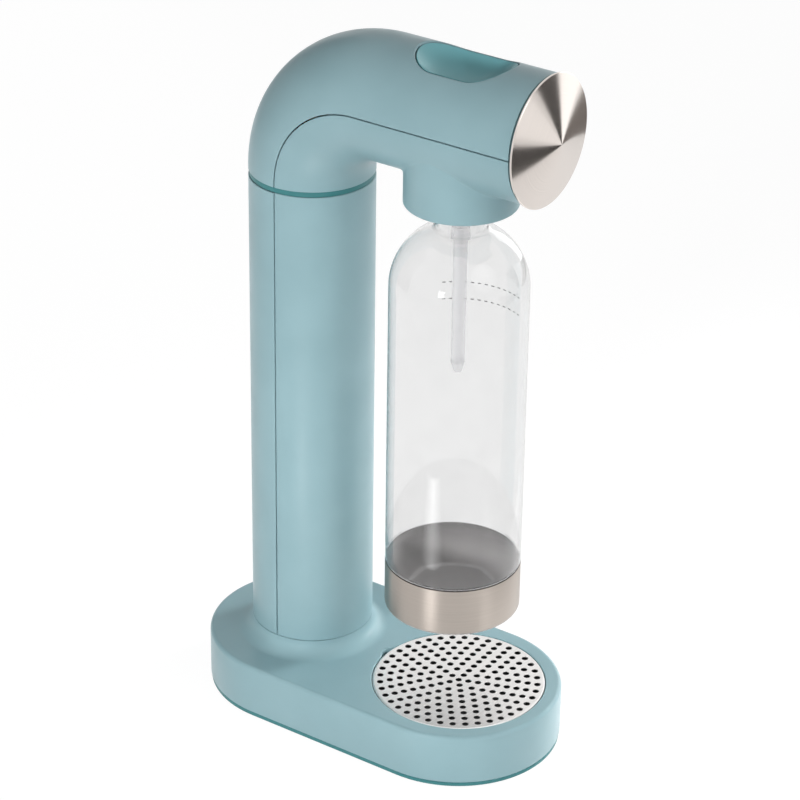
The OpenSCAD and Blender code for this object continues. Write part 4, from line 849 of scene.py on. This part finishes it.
outside = ramped(tree, reach, cup_r - cup_wall, cup_r)
# Painted light: the inside runs from a light tone at the floor to a dark one at the rim, to lighten its
# shaded lower part.
painted_light_rise = ramped(tree, parts.outputs["Z"], cup_low.z + cup_wall, cup_high.z)
# Painted shadow: a thin dark band along the cup's top edge paints the shadow line between cup and
# bottle.
painted_shade_share = ramped(tree, parts.outputs["Z"], cup_high.z - painted_shade_band, cup_high.z - painted_shade_band + painted_shade_fade)
inner_skin_painted_light = blended(tree, painted_light_rise, spread(tree, lines, tone(210, 206, 206), tone(216, 212, 212)),
                     spread(tree, lines, tone(116, 114, 114), tone(122, 120, 120)))
outer_skin = spread(tree, lines, tone(178, 169, 161), tone(184, 175, 167))
# Painted shadow: the dark tone of that band along the cup's top edge.
painted_shade_rim = spread(tree, lines, tone(62, 58, 56), tone(70, 66, 64))
skins_painted_light_inside = blended(tree, outside, inner_skin_painted_light, outer_skin)
tree.links.new(blended(tree, painted_shade_share, skins_painted_light_inside, painted_shade_rim), shader.inputs["Base Color"])
tree.links.new(spread(tree, lines, grey(0.3), grey(0.36)), shader.inputs["Roughness"])
polish = ramped(tree, reach, cup_r - cup_wall, cup_r, 0.15, 1.0)
tree.links.new(polish, shader.inputs["Metallic"])
shader.inputs["Specular IOR Level"].default_value = 0.15
lathe_sheen(tree, shader, "Z")
cup_line = np.vstack([[(0, cup_low.z)], [(cup_r - cup_edge - 0.0006, cup_low.z)],
                      arc(cup_r - cup_edge, cup_low.z + cup_edge, cup_edge, -90, 0, 8),
                      arc(cup_r - cup_wall / 2, cup_high.z - cup_wall / 2, cup_wall / 2, 0, 180, 6),
                      arc(cup_r - cup_edge, cup_low.z + cup_edge, cup_edge - cup_wall, 0, -90, 8),
                      [(0, cup_low.z + cup_wall)]])
cup = piece("cup", [quads(turned(cup_line, 0, bottle_y, 192), round_u=True)])
fix(cup, "bottle", "brushed_steel", steel, "bottle_cup")

ink = moulded("grey print", tone(84, 84, 86), tone(98, 98, 100), 0.5, 2500, 0.000005)
ink_depth, line_half, dash_span = 0.00005, 0.0003, 2.8
dash_r = vessel_r + ink_depth * np.array([-1, 1, 1, -1])
dashes = []
for line_z in (0.2635, 0.274):
    dash_z = np.broadcast_to(line_z + line_half * np.array([-1, -1, 1, 1]), (5, 4))
    for start in np.arange(-27, 46, 6.0):
        a = np.radians(start + np.linspace(0, dash_span, 5))[:, None]
        dashes += drawn(np.stack([dash_r * np.cos(a), bottle_y + dash_r * np.sin(a), dash_z], 2))
fills = piece("fill_lines", dashes)
fix(fills, "bottle", "black_plastic", ink)


# Studio: a white paper floor that runs out of sight, a surrounding that is dimmer overhead and behind,
# and four round soft lights. Cards and floor strips that only reflections see give steel and plastic
# their shine. The camera stands to the front left.
def stage_sheet(name, corners, finish):
    """A flat four-cornered sheet of the studio, not part of the object."""
    mesh = bpy.data.meshes.new(name)
    mesh.from_pydata(corners, [], [(0, 1, 2, 3)])
    mesh.materials.append(finish)
    made = bpy.data.objects.new(name, mesh)
    bpy.context.scene.collection.objects.link(made)
    return made


def seen_directly(tree):
    """1 for what is seen straight on, mirrored or through plastic, 0 for light on its way elsewhere."""
    path = tree.nodes.new("ShaderNodeLightPath")
    share = path.outputs["Is Camera Ray"]
    for kind in ("Is Glossy Ray", "Is Transmission Ray"):
        either = tree.nodes.new("ShaderNodeMath")
        either.operation = "MAXIMUM"
        tree.links.new(share, either.inputs[0])
        tree.links.new(path.outputs[kind], either.inputs[1])
        share = either.outputs["Value"]
    return share


def mixed(tree, share, first, second):
    """Two shaders mixed by a share, which is a number or a socket."""
    made = tree.nodes.new("ShaderNodeMixShader")
    if isinstance(share, float):
        made.inputs["Fac"].default_value = share
    else:
        tree.links.new(share, made.inputs["Fac"])
    tree.links.new(first, made.inputs[1])
    tree.links.new(second, made.inputs[2])
    return made.outputs["Shader"]


paper = bpy.data.materials.new("white paper")
paper.use_nodes = True
tree = paper.node_tree
matt = tree.nodes["Principled BSDF"]
matt.inputs["Base Color"].default_value = grey(0.9)
matt.inputs["Roughness"].default_value = 0.9
matt.inputs["Specular IOR Level"].default_value = 0.0
glow = tree.nodes.new("ShaderNodeEmission")
glow.inputs["Strength"].default_value = 1.07
bright_paper = mixed(tree, 0.88, matt.outputs["BSDF"], glow.outputs["Emission"])
surface = mixed(tree, seen_directly(tree), matt.outputs["BSDF"], bright_paper)
tree.links.new(surface, tree.nodes["Material Output"].inputs["Surface"])
stage_sheet("floor", [(-6, -6, 0), (6, -6, 0), (6, 6, 0), (-6, 6, 0)], paper)

world = bpy.data.worlds.new("studio")
bpy.context.scene.world = world
world.use_nodes = True
tree = world.node_tree
sky = tree.nodes["Background"]
sky.inputs["Strength"].default_value = 1.0
height = tree.nodes.new("ShaderNodeVectorMath")
height.operation = "DOT_PRODUCT"
height.inputs[1].default_value = (0, 0.7, 0.8)
tree.links.new(tree.nodes.new("ShaderNodeTexCoord").outputs["Generated"], height.inputs[0])
fall = spread(tree, height.outputs["Value"], grey(0.58), grey(0.08), 0.0, 0.9)
tree.links.new(fall, sky.inputs["Color"])
white = tree.nodes.new("ShaderNodeBackground")
white.inputs["Color"].default_value = grey(1)
white.inputs["Strength"].default_value = 1.0
surface = mixed(tree, seen_directly(tree), sky.outputs["Background"], white.outputs["Background"])
tree.links.new(surface, tree.nodes["World Output"].inputs["Surface"])


def softbox(name, place, aim, size, beam, power, reflected=True):
    """A round area light aimed from its place at a point, with its beam in degrees, itself unseen."""
    lamp = bpy.data.lights.new(name, "AREA")
    lamp.shape, lamp.size, lamp.energy, lamp.spread = "DISK", size, power, math.radians(beam)
    made = bpy.data.objects.new(name, lamp)
    made.location = place
    made.rotation_mode = "QUATERNION"
    made.rotation_quaternion = (Vector(aim) - Vector(place)).to_track_quat("-Z", "Y")
    made.visible_glossy = reflected
    made.visible_camera = made.visible_transmission = False
    bpy.context.scene.collection.objects.link(made)


softbox("side light", (-1.29, -0.16, 0.5), (0, 0, 0.14), 0.24, 70, 1.75, False)
softbox("front light", (-0.2, -1.25, 1.0), (0, 0, 0), 1.1, 70, 0.65)
softbox("right light", (1.1, -0.5, 0.42), (0, 0, 0), 0.4, 44, 1.2, False)
softbox("back light", (0.75, 1.15, 0.22), (0, 0, 0.2), 0.6, 70, 1.0, False)

camera = bpy.data.objects.new("camera", bpy.data.cameras.new("camera"))
camera.data.sensor_width, camera.data.lens = 36, 136.99
camera.data.clip_end = 50
turn, rise, roll = np.radians((-55.49, 27.98, 0.82)).tolist()
distance = 1.7363
looked_at = Vector((0, -0.00936, 0.20689))
back = Vector((math.sin(turn) * math.cos(rise), -math.cos(turn) * math.cos(rise), math.sin(rise)))
right = Vector((math.cos(turn), math.sin(turn), 0))
up = back.cross(right)
right, up = right * math.cos(roll) + up * math.sin(roll), up * math.cos(roll) - right * math.sin(roll)
pose = Matrix((right, up, back)).transposed().to_4x4()
pose.translation = looked_at + distance * back
camera.matrix_world = pose
bpy.context.scene.collection.objects.link(camera)
bpy.context.scene.camera = camera
bpy.context.scene.view_settings.view_transform = "Standard"


def card(name, colour, strength, corners):
    """A card that only reflections see."""
    finish = bpy.data.materials.new(name)
    finish.use_nodes = True
    tree = finish.node_tree
    shine = tree.nodes.new("ShaderNodeEmission")
    shine.inputs["Color"].default_value = colour
    shine.inputs["Strength"].default_value = strength
    tree.links.new(shine.outputs["Emission"], tree.nodes["Material Output"].inputs["Surface"])
    made = stage_sheet(name, corners, finish)
    made.visible_camera = made.visible_diffuse = made.visible_transmission = made.visible_shadow = False
    return tree, shine


def mirrored(start, end, shallow=4, steep=26, away=0.55):
    """Corners of a card that the disc's cone shows between two bearings: sight mirrored by its tilt."""
    middle = Vector((0, disc_high.y, arm_z))
    sight = (middle - camera.matrix_world.translation).normalized()
    corners = []
    for bearing, tilt in ((start, shallow), (end, shallow), (end, steep), (start, steep)):
        b, t = math.radians(bearing), math.radians(tilt)
        facing = Vector((math.cos(b) * math.sin(t), -math.cos(t), math.sin(b) * math.sin(t)))
        corners.append(middle + away * sight.reflect(facing))
    return corners


def standing(start, end, low, high):
    """Corners of an upright card between two places on the floor and two heights."""
    return [(*start, low), (*end, low), (*end, high), (*start, high)]


def lying(*places):
    """Corners of a card just above the floor."""
    return [(x, y, 0.001) for x, y in places]


card("right dark card", (0.17, 0.15, 0.14, 1), 1.0, mirrored(9, 47))
card("bright card", grey(1), 1.6, mirrored(52, 82))
card("upper dark card", (0.02, 0.017, 0.015, 1), 1.0, mirrored(84, 114))
card("white card", grey(1), 1.15, mirrored(124, 158))
card("left dark card", (0.02, 0.017, 0.015, 1), 1.0, mirrored(165, 193))
card("back dark card", grey(0.36), 1.0, standing((-0.9, 1.2), (0.95, 1.2), 0.05, 1.5))
card("side card", grey(1), 7.0, standing((-1.29, -0.28), (-1.29, -0.04), 0.38, 0.62))
card("right card", grey(1), 3.0, standing((0.98, -0.19), (0.98, 0.13), 0.11, 0.82))


def strip(name, near, far, half, strength):
    """A strip on the floor beside the bottle, brightest along its middle and white at its edges."""
    low, high = bottle_y - half, bottle_y + half
    corners = lying((near, low), (near, high), (far, high), (far, low))
    tree, shine = card(name, grey(1), strength, corners)
    where = tree.nodes.new("ShaderNodeTexCoord").outputs["Object"]
    fade = tree.nodes.new("ShaderNodeTexGradient")
    fade.gradient_type = "SPHERICAL"
    across = mapped(tree, where, (0, 1 / half, 0), (0, -bottle_y / half, 0))
    tree.links.new(across, fade.inputs["Vector"])
    tree.links.new(ramped(tree, fade.outputs["Fac"], 0, 1, 1.0, strength), shine.inputs["Strength"])


strip("near strip", -0.08, -0.25, 0.03, 1.25)
strip("far strip", -0.25, -0.37, 0.08, 6.0)
card("front strip", grey(1), 1.4, lying((-0.02, -0.12), (-0.05, -0.4), (0.34, -0.14), (0.07, -0.07)))
